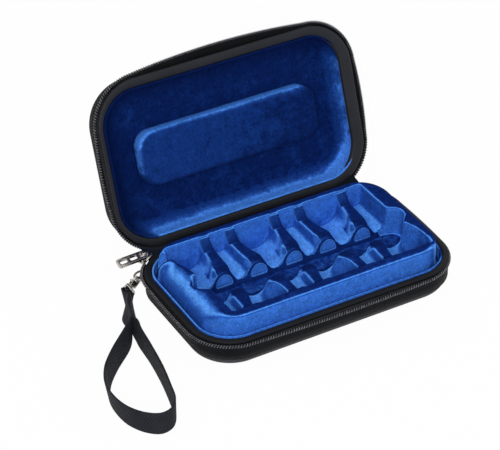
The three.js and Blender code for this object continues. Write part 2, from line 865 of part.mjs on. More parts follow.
// The tab goes round the ring's bar and is sewn down over the zip tape
function ringTab() {
  const bore = ringWire / 2 + tabClearance;
  const outer = bore + tabThickness;
  const wall = clothIn + tapeThickness + seatGap - shellOut - ringStandOff;
  const shape = new THREE.Shape();
  shape.moveTo(wall, -outer - tabSewnDrop);
  shape.lineTo(wall + 2 * tabThickness, -outer - tabSewnDrop);
  shape.lineTo(wall + 2 * tabThickness, -outer);
  shape.lineTo(0, -outer);
  shape.absarc(0, 0, outer, -Math.PI / 2, Math.PI / 2);
  shape.lineTo(wall, outer);
  const hole = new THREE.Path();
  hole.absarc(0, 0, bore, 0, 2 * Math.PI);
  shape.holes.push(hole);
  return facingOut(bare(uprightPlate(shape, tabWidth, fineCurveSteps)));
}

const tabFrame = new THREE.Group();
tabFrame.position.copy(ringFrame.position);
tabFrame.rotation.z = ringTurn;
meshes.add(tabFrame);
add('ring_tab', ringTab(), cloth(tapeBlack), tabFrame);

// Snap hook on the ring. Its frame has x along the hook, away from the ring, and z to the bolt's side.
const hookTurn = THREE.MathUtils.degToRad(hookRingAngle);
const hookOrigin = ringPoint(hookTurn).applyMatrix4(ringFrame.matrixWorld);
const hookAcross = ringPoint(hookTurn + Math.PI / 2).applyQuaternion(ringFrame.quaternion).normalize();
const hookUp = hookHeading.clone().cross(hookAcross).normalize();
const hookDirection = hookAcross.clone().cross(hookUp);
const hookInner = ringWire / 2 + hookClearance;
const hookOuter = hookInner + hookWall;
const boltAxis = (hookInner + hookOuter) / 2;
const boltBore = boltRadius + seatGap;
const sleeveTop = boltAxis + boltBore + sleeveWall;

function hookFrame() {
  const frame = new THREE.Group();
  frame.quaternion.setFromRotationMatrix(new THREE.Matrix4().makeBasis(hookDirection, hookAcross, hookUp));
  frame.position.copy(hookOrigin);
  meshes.add(frame);
  return frame;
}

// Rods along the hook's x or z
function rod(radius, from, to, { axis = 'x', at = 0, sides = wireSides } = {}) {
  const geometry = new THREE.CylinderGeometry(radius, radius, to - from, sides);
  geometry.translate(0, (from + to) / 2, 0);
  if (axis === 'x') {
    geometry.rotateZ(-Math.PI / 2);
    geometry.translate(0, 0, at);
  } else {
    geometry.rotateX(Math.PI / 2);
    geometry.translate(at, 0, 0);
  }
  return manifoldOf(geometry);
}

function hookBody() {
  const tip = THREE.MathUtils.degToRad(hookTipAngle);
  const shape = new THREE.Shape();
  shape.absarc(0, 0, hookOuter, tip, (3 * Math.PI) / 2);
  shape.lineTo(hookTail - hookWall, -hookOuter);
  shape.quadraticCurveTo(hookTail, -hookOuter, hookTail, -hookOuter + hookWall);
  shape.lineTo(hookTail, sleeveTop - sleeveWall);
  shape.lineTo(hookTail - sleeveWall, sleeveTop);
  shape.lineTo(hookBlockStart, sleeveTop);
  shape.lineTo(hookBlockStart, -hookInner);
  shape.lineTo(0, -hookInner);
  shape.absarc(0, 0, hookInner, (3 * Math.PI) / 2, tip, true);
  const slotHalf = knobStemRadius + seatGap;
  const slotStart = knobAlong - slotHalf;
  const slotEnd = hookTail - sleeveWall;
  return geometryOf(
    manifoldOf(uprightPlate(shape, hookThickness, hookSteps))
      .subtract(rod(boltBore, hookBlockStart - cutOverrun, slotEnd, { at: boltAxis }))
      .subtract(boxSolid(slotStart, slotEnd, -slotHalf, slotHalf, boltAxis, sleeveTop + cutOverrun))
      .subtract(rod(stemRadius + seatGap, hookTail - stemLength - seatGap, hookTail + cutOverrun)),
  );
}

function hookBolt() {
  const knobFoot = sleeveTop + seatGap;
  const knobTop = knobFoot + knobHeight;
  return geometryOf(
    rod(boltRadius, 0, boltLength, { at: boltAxis })
      .add(rod(knobStemRadius, boltAxis, knobTop, { axis: 'z', at: knobAlong }))
      .add(rod(knobRadius, knobFoot, knobTop, { axis: 'z', at: knobAlong, sides: knobSides })),
  );
}

// The eye turns on a stem in the hook's tail. The strap goes round its far bar.
const eyeNear = hookTail + seatGap + eyeWire / 2;
const eyeBar = eyeNear + eyeLength;

function swivelEye() {
  const path = roundedPath(eyeLength, eyeWidth - eyeWire, eyeRadius, eyeSteps);
  const loop = wireLoop(path.map((s) => new THREE.Vector3(s.x, s.y, 0)), eyeWire / 2, wireSides);
  loop.rotateX(Math.PI / 2);
  loop.translate(eyeNear + eyeLength / 2, 0, 0);
  return geometryOf(manifoldOf(loop).add(rod(stemRadius, hookTail - stemLength, eyeNear)));
}

add('hook_body', hookBody(), metal(nickel), hookFrame());
add('hook_bolt', hookBolt(), metal(nickel), hookFrame());
add('swivel_eye', swivelEye(), metal(nickel), hookFrame());

// Wrist strap: one band of webbing in a loop, folded round the eye's bar and standing on its edge.
// Its two edges are smooth curves through the stations.
const strapBar = hookOrigin.clone().addScaledVector(hookDirection, eyeBar);

function foldStations() {
  const radius = eyeWire / 2 + foldClearance + strapThickness / 2;
  return foldShares.map((share) => {
    const turn = (share * Math.PI) / 2;
    const middle = strapBar.clone()
      .addScaledVector(hookDirection, -radius * Math.cos(turn))
      .addScaledVector(hookAcross, -radius * Math.sin(turn));
    return { middle, across: hookUp.clone(), width: strapFoldWidth };
  });
}

function routeStations() {
  return strapRoute.map(([dx, dy, lean, width], i) => {
    const before = strapRoute[Math.max(i - 1, 0)];
    const after = strapRoute[Math.min(i + 1, strapRoute.length - 1)];
    const along = new THREE.Vector3(after[0] - before[0], after[1] - before[1], 0).normalize();
    const side = new THREE.Vector3(along.y, -along.x, 0);
    const tilt = THREE.MathUtils.degToRad(lean);
    const across = side.multiplyScalar(Math.sin(tilt)).setZ(Math.cos(tilt));
    const rise = width * Math.cos(tilt) + strapThickness * Math.abs(Math.sin(tilt));
    const height = strapLift + rise / 2;
    const middle = new THREE.Vector3(strapBar.x + dx, strapBar.y + dy, height);
    return { middle, across, width };
  });
}

function strap() {
  const stations = [...foldStations(), ...routeStations()];
  const edge = (side) => new THREE.CatmullRomCurve3(
    stations.map((s) => s.middle.clone().addScaledVector(s.across, (side * s.width) / 2)),
    true,
    'centripetal',
  );
  const lower = edge(-1);
  const upper = edge(1);
  const count = stations.length * strapSteps;
  const rings = Array.from({ length: count }, (_, i) => {
    const a = lower.getPoint(i / count);
    const b = upper.getPoint(i / count);
    const along = lower.getTangent(i / count).add(upper.getTangent(i / count));
    const out = along.cross(b.clone().sub(a)).normalize().multiplyScalar(strapThickness / 2);
    const corners = [[a, -1], [a, 1], [b, 1], [b, -1]];
    return corners.map(([p, way]) => p.clone().addScaledVector(out, way).toArray());
  });
  return bridge(rings, null);
}

add('wrist_strap', strap(), cloth(strapBlack));

export default meshes;
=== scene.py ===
import json
import math

import bmesh
import bpy
import numpy as np
from mathutils import Matrix, Vector

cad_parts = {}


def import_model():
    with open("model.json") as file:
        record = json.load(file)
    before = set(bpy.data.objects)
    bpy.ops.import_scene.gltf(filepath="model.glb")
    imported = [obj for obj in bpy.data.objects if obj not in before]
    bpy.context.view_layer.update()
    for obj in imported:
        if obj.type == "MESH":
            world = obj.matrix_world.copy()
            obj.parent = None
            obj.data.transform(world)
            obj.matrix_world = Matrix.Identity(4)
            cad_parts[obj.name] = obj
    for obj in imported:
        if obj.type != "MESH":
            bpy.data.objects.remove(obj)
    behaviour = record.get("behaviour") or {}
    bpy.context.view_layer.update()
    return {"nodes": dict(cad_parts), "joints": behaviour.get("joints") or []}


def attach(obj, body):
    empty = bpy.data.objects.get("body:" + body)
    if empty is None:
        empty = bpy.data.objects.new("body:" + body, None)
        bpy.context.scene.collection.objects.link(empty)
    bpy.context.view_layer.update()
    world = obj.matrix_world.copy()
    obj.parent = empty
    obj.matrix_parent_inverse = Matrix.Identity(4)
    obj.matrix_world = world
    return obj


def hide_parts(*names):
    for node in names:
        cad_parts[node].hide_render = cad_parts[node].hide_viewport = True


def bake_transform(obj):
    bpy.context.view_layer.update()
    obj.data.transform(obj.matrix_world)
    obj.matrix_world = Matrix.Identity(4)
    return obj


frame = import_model()
joints = {joint["name"]: joint for joint in frame["joints"]}

# All sizes below are millimetres in the frame's own axes. Meshes are scaled to metres when they are made.
MM = 0.001

# The mouth that base and lid share, and how far each layer stands from its outline
MOUTH_LENGTH, MOUTH_DEPTH, MOUTH_RADIUS = 207.0, 117.4, 28.5
CORNER_X, CORNER_Y = MOUTH_LENGTH / 2 - MOUTH_RADIUS, MOUTH_DEPTH / 2 - MOUTH_RADIUS
SHELL_OUT = 4.0
SHELL_IN = 0.3
LINING = 1.6
CLOTH_IN = 4.3

# Floors and roofs are flat from here inwards
FLAT_FROM = -20.0

# Heights of the rims, the floor and the roof, the lid taken in its closed place
BASE_RIM = 25.0
BASE_FLOOR = 3.0
LID_RIM = 31.0
LID_ROOF = LID_RIM + 17 + LINING + 0.3
LID_TOP = LID_ROOF + 3
BAND_HEIGHT = 2.7

# The hinge's fold line and the angle from closed to open
HINGE = np.array(joints["lid_hinge"]["pos_m"]) / MM
OPEN_ANGLE = -math.radians(joints["lid_hinge"]["range_deg"][1])


def new_object(name, data):
    """An object in the scene, made from a mesh, a lamp's data or a camera's."""
    obj = bpy.data.objects.new(name, data)
    bpy.context.collection.objects.link(obj)
    return obj


# Camera
def make_camera():
    azimuth, elevation, roll = math.radians(-29.41), math.radians(35.55), math.radians(-0.25)
    distance, aim = 1.7568, Vector((-0.01717, 0.04185, 0.03855))
    level = math.cos(elevation)
    back = Vector((math.sin(azimuth) * level, -math.cos(azimuth) * level, math.sin(elevation)))
    right = Vector((math.cos(azimuth), math.sin(azimuth), 0))
    up = back.cross(right)
    rolled_right = right * math.cos(roll) + up * math.sin(roll)
    rolled_up = -right * math.sin(roll) + up * math.cos(roll)
    data = bpy.data.cameras.new("camera")
    data.sensor_fit = "HORIZONTAL"
    data.sensor_width = 36
    data.lens = 167.59
    data.clip_start = 0.05
    data.clip_end = 20
    camera = new_object("camera", data)
    matrix = Matrix((rolled_right, rolled_up, back)).transposed().to_4x4()
    matrix.translation = aim + back * distance
    camera.matrix_world = matrix
    bpy.context.scene.camera = camera


make_camera()


# Paths round the mouth
TUCK_SPREAD = 0.7


def corner(cx, cy, radius, start, end, steps):
    """Stations along an arc. A station is its place, x and y, its outward normal, x and y, and its shares of
    the bow of a long side and of a short side."""
    out = []
    for k in range(steps + 1):
        t = math.radians(start + (end - start) * k / steps)
        out.append((cx + radius * math.cos(t), cy + radius * math.sin(t), math.cos(t), math.sin(t), 0, 0))
    return out


def side(a, b, steps):
    """Stations between two others. The bow is fullest halfway."""
    out = []
    on_long = abs(a[3]) > abs(a[2])
    for k in range(1, steps):
        t = k / steps
        bow = 4 * t * (1 - t)
        x, y = a[0] + (b[0] - a[0]) * t, a[1] + (b[1] - a[1]) * t
        out.append((x, y, a[2], a[3], bow * on_long, bow * (not on_long)))
    return out


def joined(arcs, spacing, closed):
    """The arcs one after another, with straight sides between them at about this spacing."""
    out = []
    for i, arc in enumerate(arcs):
        out += arc
        if closed or i + 1 < len(arcs):
            a, b = arc[-1], arcs[(i + 1) % len(arcs)][0]
            length = math.hypot(b[0] - a[0], b[1] - a[1])
            out += side(a, b, max(2, round(length / spacing)))
    return np.array(out)


def closed_path(length=MOUTH_LENGTH, depth=MOUTH_DEPTH, radius=MOUTH_RADIUS, steps=20, spacing=4.0):
    cx, cy = length / 2 - radius, depth / 2 - radius
    centres = [(cx, cy, 0), (-cx, cy, 90), (-cx, -cy, 180), (cx, -cy, 270)]
    return joined([corner(x, y, radius, a, a + 90, steps) for x, y, a in centres], spacing, True)


def zip_path(start, steps=24, spacing=2.5):
    """From this angle on the back left corner round the front to the back right corner."""
    part = round(steps * (180 - start) / 90)
    return joined([corner(-CORNER_X, CORNER_Y, MOUTH_RADIUS, start, 180, part),
                   corner(-CORNER_X, -CORNER_Y, MOUTH_RADIUS, 180, 270, steps),
                   corner(CORNER_X, -CORNER_Y, MOUTH_RADIUS, 270, 360, steps),
                   corner(CORNER_X, CORNER_Y, MOUTH_RADIUS, 0, 180 - start, part)], spacing, False)


def hinge_path(turn, steps=8, spacing=4.0):
    """Along the back, from this far round one back corner to as far round the other."""
    return joined([corner(CORNER_X, CORNER_Y, MOUTH_RADIUS, 90 - turn, 90, steps),
                   corner(-CORNER_X, CORNER_Y, MOUTH_RADIUS, 90, 90 + turn, steps)], spacing, False)


def rings(stations, profile, long_bow=0.0, short_bow=0.0, tuck_left=0.0, tuck_right=0.0):
    """Carries profile rows (outward, height, share of the bow) along the stations, as rows by stations by 3.
    The bow swells a long or short side outwards, and the tucks draw the left and the right side in."""
    left, right = np.clip(-stations[:, 2], 0, 1), np.clip(stations[:, 2], 0, 1)
    swell = stations[:, 4] * long_bow + stations[:, 5] * short_bow
    swell = swell - tuck_left * left - tuck_right * right ** TUCK_SPREAD
    out = []
    for row in profile:
        reach = row[0] + (row[2] if len(row) > 2 else 0) * swell
        x, y = stations[:, 0] + stations[:, 2] * reach, stations[:, 1] + stations[:, 3] * reach
        out.append(np.c_[x, y, np.full(len(stations), float(row[1]))])
    return np.array(out)


def turned(points, angle):
    """Turns points about the hinge's fold line."""
    x, y, z = np.moveaxis(np.asarray(points, float) - HINGE, -1, 0)
    c, s = math.cos(angle), math.sin(angle)
    return np.stack([x, y * c - z * s, y * s + z * c], -1) + HINGE


def to_open(points):
    return turned(points, OPEN_ANGLE)


def to_closed(points):
    return turned(points, -OPEN_ANGLE)


# Meshes
def make_mesh(name, points, faces, uvs=None):
    mesh = bpy.data.meshes.new(name)
    mesh.from_pydata((np.asarray(points, float) * MM).tolist(), [], faces)
    if uvs is not None:
        layer = mesh.uv_layers.new(name="uv")
        layer.data.foreach_set("uv", [value for face in uvs for pair in face for value in pair])
    obj = new_object(name, mesh)
    bm = bmesh.new()
    bm.from_mesh(mesh)
    bmesh.ops.recalc_face_normals(bm, faces=bm.faces)
    for face in bm.faces:
        face.smooth = True
    bm.to_mesh(mesh)
    bm.free()
    return obj


def run_along(grid, axis):
    """Mean distance run at each step along an axis of a grid of points, and back to its start, in metres."""
    steps = np.linalg.norm(np.diff(grid, axis=axis, append=np.take(grid, [0], axis)), axis=2)
    return np.concatenate([[0], np.cumsum(steps.mean(1 - axis))]) * MM


def loft(name, grid, around=True, along=False, caps=True):
    """Joins rows by stations by 3 into a surface. around closes the stations, along closes the rows."""
    m, n, _ = grid.shape
    points = grid.reshape(-1, 3)
    u, v = run_along(grid, 1), run_along(grid, 0)
    faces, uvs = [], []
    for i in range(m if along else m - 1):
        a, b = i * n, ((i + 1) % m) * n
        for j in range(n if around else n - 1):
            k = (j + 1) % n
            faces.append((a + j, a + k, b + k, b + j))
            uvs.append(((u[j], v[i]), (u[j + 1], v[i]), (u[j + 1], v[i + 1]), (u[j], v[i + 1])))
    ends = []
    if caps and around and not along:
        ends = [[row * n + j for j in range(n)] for row in (0, m - 1)]
    if caps and along and not around:
        ends = [[i * n + column for i in range(m)] for column in (0, n - 1)]
    for end in ends:
        faces.append(tuple(end))
        uvs.append(tuple((points[q][0] * MM, points[q][1] * MM) for q in end))
    return make_mesh(name, points, faces, uvs)


def quarter(offset, z, radius, steps=6):
    """Quarter round under an edge: from (offset - radius, z) out and up to (offset, z + radius)."""
    turns = [math.pi / 2 * k / steps for k in range(steps + 1)]
    return [(offset - radius * (1 - math.sin(t)), z + radius * (1 - math.cos(t))) for t in turns]


def hung(rows, roof):
    """Rows made upwards from zero, hung down from a roof instead."""
    return [(offset, roof - z, *rest) for offset, z, *rest in rows]


def apply_modifiers(obj):
    graph = bpy.context.evaluated_depsgraph_get()
    mesh = bpy.data.meshes.new_from_object(obj.evaluated_get(graph))
    obj.modifiers.clear()
    obj.data = mesh
    mesh.polygons.foreach_set("use_smooth", [True] * len(mesh.polygons))
    return obj


def points_mm(obj):
    """The mesh's points in millimetres, as three arrays."""
    co = np.empty(len(obj.data.vertices) * 3, np.float32)
    obj.data.vertices.foreach_get("co", co)
    return co.reshape(-1, 3).T / MM


def paint_points(obj, name, values):
    """Stores a number per point for the velvet to read: how much painted highlight or painted shade it gets.
    """
    layer = obj.data.attributes.new(name, "FLOAT", "POINT")
    layer.data.foreach_set("value", values.astype(np.float32))


def unit(vectors):
    return vectors / np.linalg.norm(vectors, axis=1, keepdims=True)


def smooth(t):
    """A soft step from 0 to 1."""
    t = np.clip(t, 0, 1)
    return t * t * (3 - 2 * t)


def dress(obj, material, body, *nodes, slot=None):
    """Gives a piece its material, the nodes it stands for and the body it rides on. The slot is not used."""
    obj.data.materials.clear()
    obj.data.materials.append(material)
    if nodes:
        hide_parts(*nodes)
    if body:
        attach(obj, body)
    return obj


# Nodes that the materials share
def set_inputs(item, values):
    for key, value in values.items():
        item.inputs[key].default_value = value


def new_material(name):
    material = bpy.data.materials.new(name)
    material.use_nodes = True
    tree = material.node_tree
    return material, tree, tree.nodes["Principled BSDF"]


def node(tree, kind, inputs=None, **props):
    item = tree.nodes.new(kind)
    for key, value in props.items():
        setattr(item, key, value)
    set_inputs(item, inputs or {})
    return item


def srgb(r, g, b):
    channels = [c / 255 for c in (r, g, b)]
    return (*[c / 12.92 if c <= 0.04045 else ((c + 0.055) / 1.055) ** 2.4 for c in channels], 1.0)


def ramp(tree, stops, factor):
    item = node(tree, "ShaderNodeValToRGB")
    elements = item.color_ramp.elements
    while len(elements) < len(stops):
        elements.new(0.5)
    for element, (position, colour) in zip(elements, stops):
        element.position = position
        element.color = colour
    tree.links.new(factor, item.inputs["Fac"])
    return item.outputs["Color"]


def bump(tree, shader, height, distance, strength=1.0):
    item = node(tree, "ShaderNodeBump", {"Strength": strength, "Distance": distance})
    tree.links.new(height, item.inputs["Height"])
    tree.links.new(item.outputs["Normal"], shader.inputs["Normal"])


def maths(tree, operation, a, b=None, clamp=False):
    item = node(tree, "ShaderNodeMath", operation=operation, use_clamp=clamp)
    for socket, value in zip(item.inputs, (a, b)):
        if isinstance(value, (int, float)):
            socket.default_value = value
        elif value is not None:
            tree.links.new(value, socket)
    return item.outputs[0]


def added(tree, a, b, clamp=False):
    return maths(tree, "ADD", a, b, clamp)


def times(tree, a, b, clamp=False):
    return maths(tree, "MULTIPLY", a, b, clamp)


def noise(tree, place, scale, detail=3, roughness=0.6, distortion=0.0):
    item = node(tree, "ShaderNodeTexNoise", {"Scale": scale, "Detail": detail, "Roughness": roughness,
                                             "Distortion": distortion})
    tree.links.new(place.outputs["Object"], item.inputs["Vector"])
    return item.outputs["Fac"]


def about_zero(tree, value, size):
    return times(tree, maths(tree, "SUBTRACT", value, 0.5), size)


# Materials
def velvet(name, lit_from, colours, mottle, grain=1.7):
    """Flocked velvet. Its colour is painted light and sheen: it follows how far a face turns towards the
    given direction, the front left where the key lamp stands. Two point attributes add a painted highlight
    and painted shade."""
    material, tree, shader = new_material(name)
    place = node(tree, "ShaderNodeTexCoord")
    facing = node(tree, "ShaderNodeVectorMath", operation="DOT_PRODUCT")
    facing.inputs[1].default_value = lit_from
    tree.links.new(place.outputs["Normal"], facing.inputs[0])
    highlight = node(tree, "ShaderNodeAttribute", attribute_name="painted_highlight").outputs["Fac"]
    shaded = node(tree, "ShaderNodeAttribute", attribute_name="painted_shade").outputs["Fac"]
    crush = noise(tree, place, scale=60, detail=7, roughness=0.8, distortion=0.5)
    strands = noise(tree, place, scale=560, roughness=0.8)
    fibre = noise(tree, place, scale=190, roughness=0.75)
    fibre_lean, mean_light, fibre_share, shade_loss = 0.16, 0.95, 0.5, 0.3
    # Painted light: the ramp's place rises with the painted highlight and falls with the painted shade
    lean = maths(tree, "MAXIMUM", facing.outputs["Value"], highlight)
    lean = added(tree, lean, about_zero(tree, crush, mottle))
    lean = added(tree, lean, about_zero(tree, fibre, fibre_lean))
    lean = times(tree, lean, maths(tree, "SUBTRACT", 1.0, shaded), clamp=True)
    light = added(tree, mean_light, about_zero(tree, strands, grain))
    light = added(tree, light, about_zero(tree, fibre, grain * fibre_share))
    # Painted shade also darkens the colour itself
    light = times(tree, light, maths(tree, "SUBTRACT", 1.0, times(tree, shaded, shade_loss)))
    shade = node(tree, "ShaderNodeVectorMath", operation="SCALE")
    stops = [(position, srgb(*colour)) for position, colour in colours]
    tree.links.new(ramp(tree, stops, lean), shade.inputs[0])
    tree.links.new(light, shade.inputs["Scale"])
    tree.links.new(shade.outputs["Vector"], shader.inputs["Base Color"])
    set_inputs(shader, {"Roughness": 0.95, "Specular IOR Level": 0.05, "Sheen Weight": 0.06,
                        "Sheen Roughness": 0.3, "Sheen Tint": srgb(80, 140, 255)})
    bump(tree, shader, added(tree, fibre, strands), distance=0.0004, strength=0.7)
    return material


def cloth(name, dark, light, scale=900, roughness=0.8, depth=0.00012, sheen=0.15, gloss=0.3):
    """Close plain weave with a little wear in its colour."""
    blotch, finer = 0.35, 1.4
    material, tree, shader = new_material(name)
    place = node(tree, "ShaderNodeTexCoord")
    weave = node(tree, "ShaderNodeTexVoronoi", {"Scale": scale, "Randomness": 0.35})
    tree.links.new(place.outputs["Object"], weave.inputs["Vector"])
    wear = times(tree, noise(tree, place, scale=45, detail=4, roughness=0.65), blotch)
    threads = times(tree, noise(tree, place, scale=scale * finer, detail=2), 1 - blotch)
    mixed = added(tree, wear, threads, clamp=True)
    colour = ramp(tree, [(0.3, srgb(*dark)), (0.7, srgb(*light))], mixed)
    tree.links.new(colour, shader.inputs["Base Color"])
    set_inputs(shader, {"Roughness": roughness, "Specular IOR Level": gloss, "Sheen Weight": sheen,
                        "Sheen Roughness": 0.4})
    bump(tree, shader, weave.outputs["Distance"], depth, strength=0.7)
    return material


def webbing(name, dark, light, rib=0.0011, yarn=0.0007, depth=0.0002, sheen=0.2):
    """Woven band: slanting ribs across and yarns along, laid out on the piece's own length and width."""
    blotch, slant = 0.55, 0.5
    material, tree, shader = new_material(name)
    place = node(tree, "ShaderNodeTexCoord")
    split = node(tree, "ShaderNodeSeparateXYZ")
    tree.links.new(place.outputs["UV"], split.inputs[0])
    along = times(tree, split.outputs["X"], 2 * math.pi / rib)
    across = times(tree, split.outputs["Y"], 2 * math.pi / yarn)
    twill = maths(tree, "SINE", added(tree, along, times(tree, across, slant)))
    woven = times(tree, twill, maths(tree, "SINE", across))
    height = times(tree, added(tree, woven, 1.0), 0.5)
    wear = times(tree, noise(tree, place, scale=60, detail=4), blotch)
    mixed = added(tree, wear, times(tree, height, 1 - blotch))
    colour = ramp(tree, [(0.25, srgb(*dark)), (0.75, srgb(*light))], mixed)
    tree.links.new(colour, shader.inputs["Base Color"])
    set_inputs(shader, {"Roughness": 0.75, "Specular IOR Level": 0.08, "Sheen Weight": sheen,
                        "Sheen Roughness": 0.4})
    bump(tree, shader, height, depth, strength=0.8)
    return material


def metal(name, colour, roughness=0.24):
    """Plated metal, rubbed a little unevenly."""
    rubbed, smoothest, uneven = 0.6, roughness - 0.1, 0.22
    material, tree, shader = new_material(name)
    place = node(tree, "ShaderNodeTexCoord")
    wear = noise(tree, place, scale=420, detail=4)
    bright = srgb(*colour)
    darker = tuple(c * rubbed for c in bright[:3]) + (1.0,)
    tree.links.new(ramp(tree, [(0.3, darker), (0.62, bright)], wear), shader.inputs["Base Color"])
    rough = added(tree, times(tree, wear, uneven), smoothest)
    tree.links.new(rough, shader.inputs["Roughness"])
    set_inputs(shader, {"Metallic": 1.0})
    bump(tree, shader, wear, distance=0.00005, strength=0.4)
    return material


def plastic(name, dark, light, roughness=0.3):
    material, tree, shader = new_material(name)
    place = node(tree, "ShaderNodeTexCoord")
    tone = noise(tree, place, scale=300)
    colour = ramp(tree, [(0.35, srgb(*dark)), (0.65, srgb(*light))], tone)
    tree.links.new(colour, shader.inputs["Base Color"])
    set_inputs(shader, {"Roughness": roughness})
    bump(tree, shader, tone, distance=0.00004, strength=0.5)
    return material


# The colours of each velvet, painted light and sheen: from faces in painted shade or turned away to faces
# turned towards the front left
LID_UP = (0, -math.cos(OPEN_ANGLE), -math.sin(OPEN_ANGLE))
velvet_base = velvet("velvet_base", (-0.5, -0.87, 0), [
    (0.0, (8, 36, 104)), (0.05, (16, 50, 128)), (0.15, (52, 110, 208)), (0.23, (86, 156, 250)),
    (0.32, (88, 158, 252)), (0.42, (48, 102, 198)), (0.5, (34, 80, 168)), (0.64, (50, 106, 204)),
    (0.85, (54, 112, 208))], mottle=0.2)
velvet_lid = velvet("velvet_lid", (-0.62, 0.78 * LID_UP[1], 0.78 * LID_UP[2]), [
    (0.0, (6, 31, 88)), (0.12, (14, 47, 114)), (0.38, (20, 56, 128)), (0.56, (38, 84, 170)),
    (0.68, (72, 138, 238)), (1.0, (80, 146, 246))], mottle=0.6)
fine_grain = {"scale": 1300, "roughness": 0.6, "depth": 0.00005}
shell_cloth = cloth("shell_cloth", (46, 46, 51), (74, 74, 80), gloss=0.15, sheen=0.08)
# One binding cloth in two copies: the base's painted darker as painted shade, the lid's lighter as painted
# light
base_binding_shaded_cloth = cloth("base_binding_shaded_cloth", (6, 7, 10), (15, 16, 21),
                           gloss=0.15, sheen=0.02, **fine_grain)
lid_binding_lit_cloth = cloth("lid_binding_lit_cloth", (17, 18, 23), (34, 36, 43),
                          gloss=0.2, sheen=0.04, **fine_grain)
gusset_cloth = cloth("gusset_cloth", (8, 13, 21), (15, 24, 40),
                     scale=1100, roughness=0.85, gloss=0.1, sheen=0.03)
tape_cloth = webbing("tape_cloth", (9, 10, 13), (20, 21, 25),
                     rib=0.0009, yarn=0.0006, depth=0.00012, sheen=0.05)
strap_webbing = webbing("strap_webbing", (8, 10, 14), (50, 52, 59), rib=0.0021, yarn=0.0016, sheen=0.02)
coil_plastic = plastic("coil_plastic", (50, 50, 56), (104, 104, 110))
nickel = metal("nickel", (196, 192, 186))


# Base and lid shells
mouth = closed_path()
CROWN_STEPS = 9


def rim_rows(rim, into, outer, inner):
    """A shell's rim with both edges rounded, by steps (in from the face, from the rim into the wall)."""
    rows = [(SHELL_OUT - inwards, rim + into * down) for inwards, down in outer]
    return rows + [(SHELL_IN + inwards, rim + into * down) for inwards, down in inner]


def base_shell():
    top, foot, inside, straight_from = 22.0, 9.0, 6.0, 14.0
    rows = [(FLAT_FROM, 0.0)] + quarter(SHELL_OUT, 0.0, foot, CROWN_STEPS) + [(SHELL_OUT, straight_from)]
    rows += rim_rows(top, -1, [(0, 0.8), (0.25, 0.2), (0.8, 0)], [(0.7, 0), (0.2, 0.3), (0, 0.9)])
    rows += quarter(SHELL_IN, BASE_FLOOR, inside)[::-1] + [(FLAT_FROM, BASE_FLOOR)]
    return loft("case_base", rings(mouth, rows))


def lid_shell():
    rim, edge, inside, straight_to = LID_RIM + 3.0, 12.0, 10.6, LID_RIM + 5.0
    rows = [(FLAT_FROM, LID_TOP)] + hung(quarter(SHELL_OUT, 0.0, edge, CROWN_STEPS), LID_TOP)
    rows += [(SHELL_OUT, straight_to)]
    rows += rim_rows(rim, 1, [(0, 0.8), (0.3, 0.2), (0.8, 0)], [(0.7, 0), (0.2, 0.2), (0, 0.9)])
    rows += hung(quarter(SHELL_IN, 0.0, inside), LID_ROOF)[::-1] + [(FLAT_FROM, LID_ROOF)]
    return loft("case_lid", to_open(rings(mouth, rows)))


dress(base_shell(), shell_cloth, "base", "base_shell", slot="shell_cloth")
dress(lid_shell(), shell_cloth, "lid", "lid_shell", slot="shell_cloth")


# Velvet linings
ROLLED_EDGE = [(0.0, -1.0), (-0.1, -0.3), (-0.5, 0.1), (-0.8, 0.15), (-1.1, 0.1), (-1.5, -0.3),
               (-LINING, -1.0)]


def lining_rows(rim, floor, radius, up):
    """A thin skin with a rolled top edge. up is 1 for the base and -1 for the lid."""
    def curve(offset, height, radius):
        return [(o, height + up * z) for o, z in quarter(offset, 0.0, radius, steps=7)]

    rows = [(FLAT_FROM, floor)] + curve(0.0, floor, radius + LINING)
    rows += [(offset, rim + up * rise) for offset, rise in ROLLED_EDGE]
    return rows + curve(-LINING, floor + up * LINING, radius)[::-1] + [(FLAT_FROM, floor + up * LINING)]


def base_lining():
    """Its rim gets a painted highlight, less and less towards the right."""
    highlight, fade_from, fade = 0.3, 90, 60
    rows = lining_rows(rim=BASE_RIM + 0.2, floor=BASE_FLOOR + 0.3, radius=5.5, up=1)
    obj = loft("base_velvet", rings(mouth, rows))
    x, _, z = points_mm(obj)
    on_rim = smooth((z - BASE_RIM + 1.2) / 0.8)
    paint_points(obj, "painted_highlight", highlight * on_rim * smooth((fade_from - x) / fade))
    return obj


def lid_lining():
    """Painted shade on the left and far from the hinge, and a painted highlight on the rim elsewhere."""
    highlight, left_from, left_fade, far_from, far_fade = 0.75, 72, 22, 34, 18
    rows = lining_rows(rim=LID_RIM - 0.2, floor=LID_ROOF - 0.3, radius=9.0, up=-1)
    obj = loft("lid_velvet", to_open(rings(mouth, rows)))
    x, y, z = to_closed(np.stack(points_mm(obj), -1)).T
    in_shade = np.maximum(smooth((-x - left_from) / left_fade), smooth((-y - far_from) / far_fade))
    on_rim = smooth((LID_RIM + 1.0 - z) / 0.6)
    paint_points(obj, "painted_shade", in_shade)
    paint_points(obj, "painted_highlight", highlight * on_rim * (1 - in_shade))
    return obj


dress(base_lining(), velvet_base, "base", "base_lining", slot="velvet")
dress(lid_lining(), velvet_lid, "lid", "lid_lining", slot="velvet")


# Bands over the shells' edges
def band_rows(steps=12):
    """Across a rolled band from its inner edge out and back underneath, as shares of its width and height."""
    low, round_part, fullness = 0.45, 0.55, 0.7
    turns = [math.pi * k / steps for k in range(steps + 1)]
    crowned = [((1 - math.cos(t)) / 2, low + round_part * math.sin(t) ** fullness) for t in turns]
    return [(0, 0), (0, 0.3)] + crowned + [(1, 0.3), (0.99, 0), (0.5, 0)]


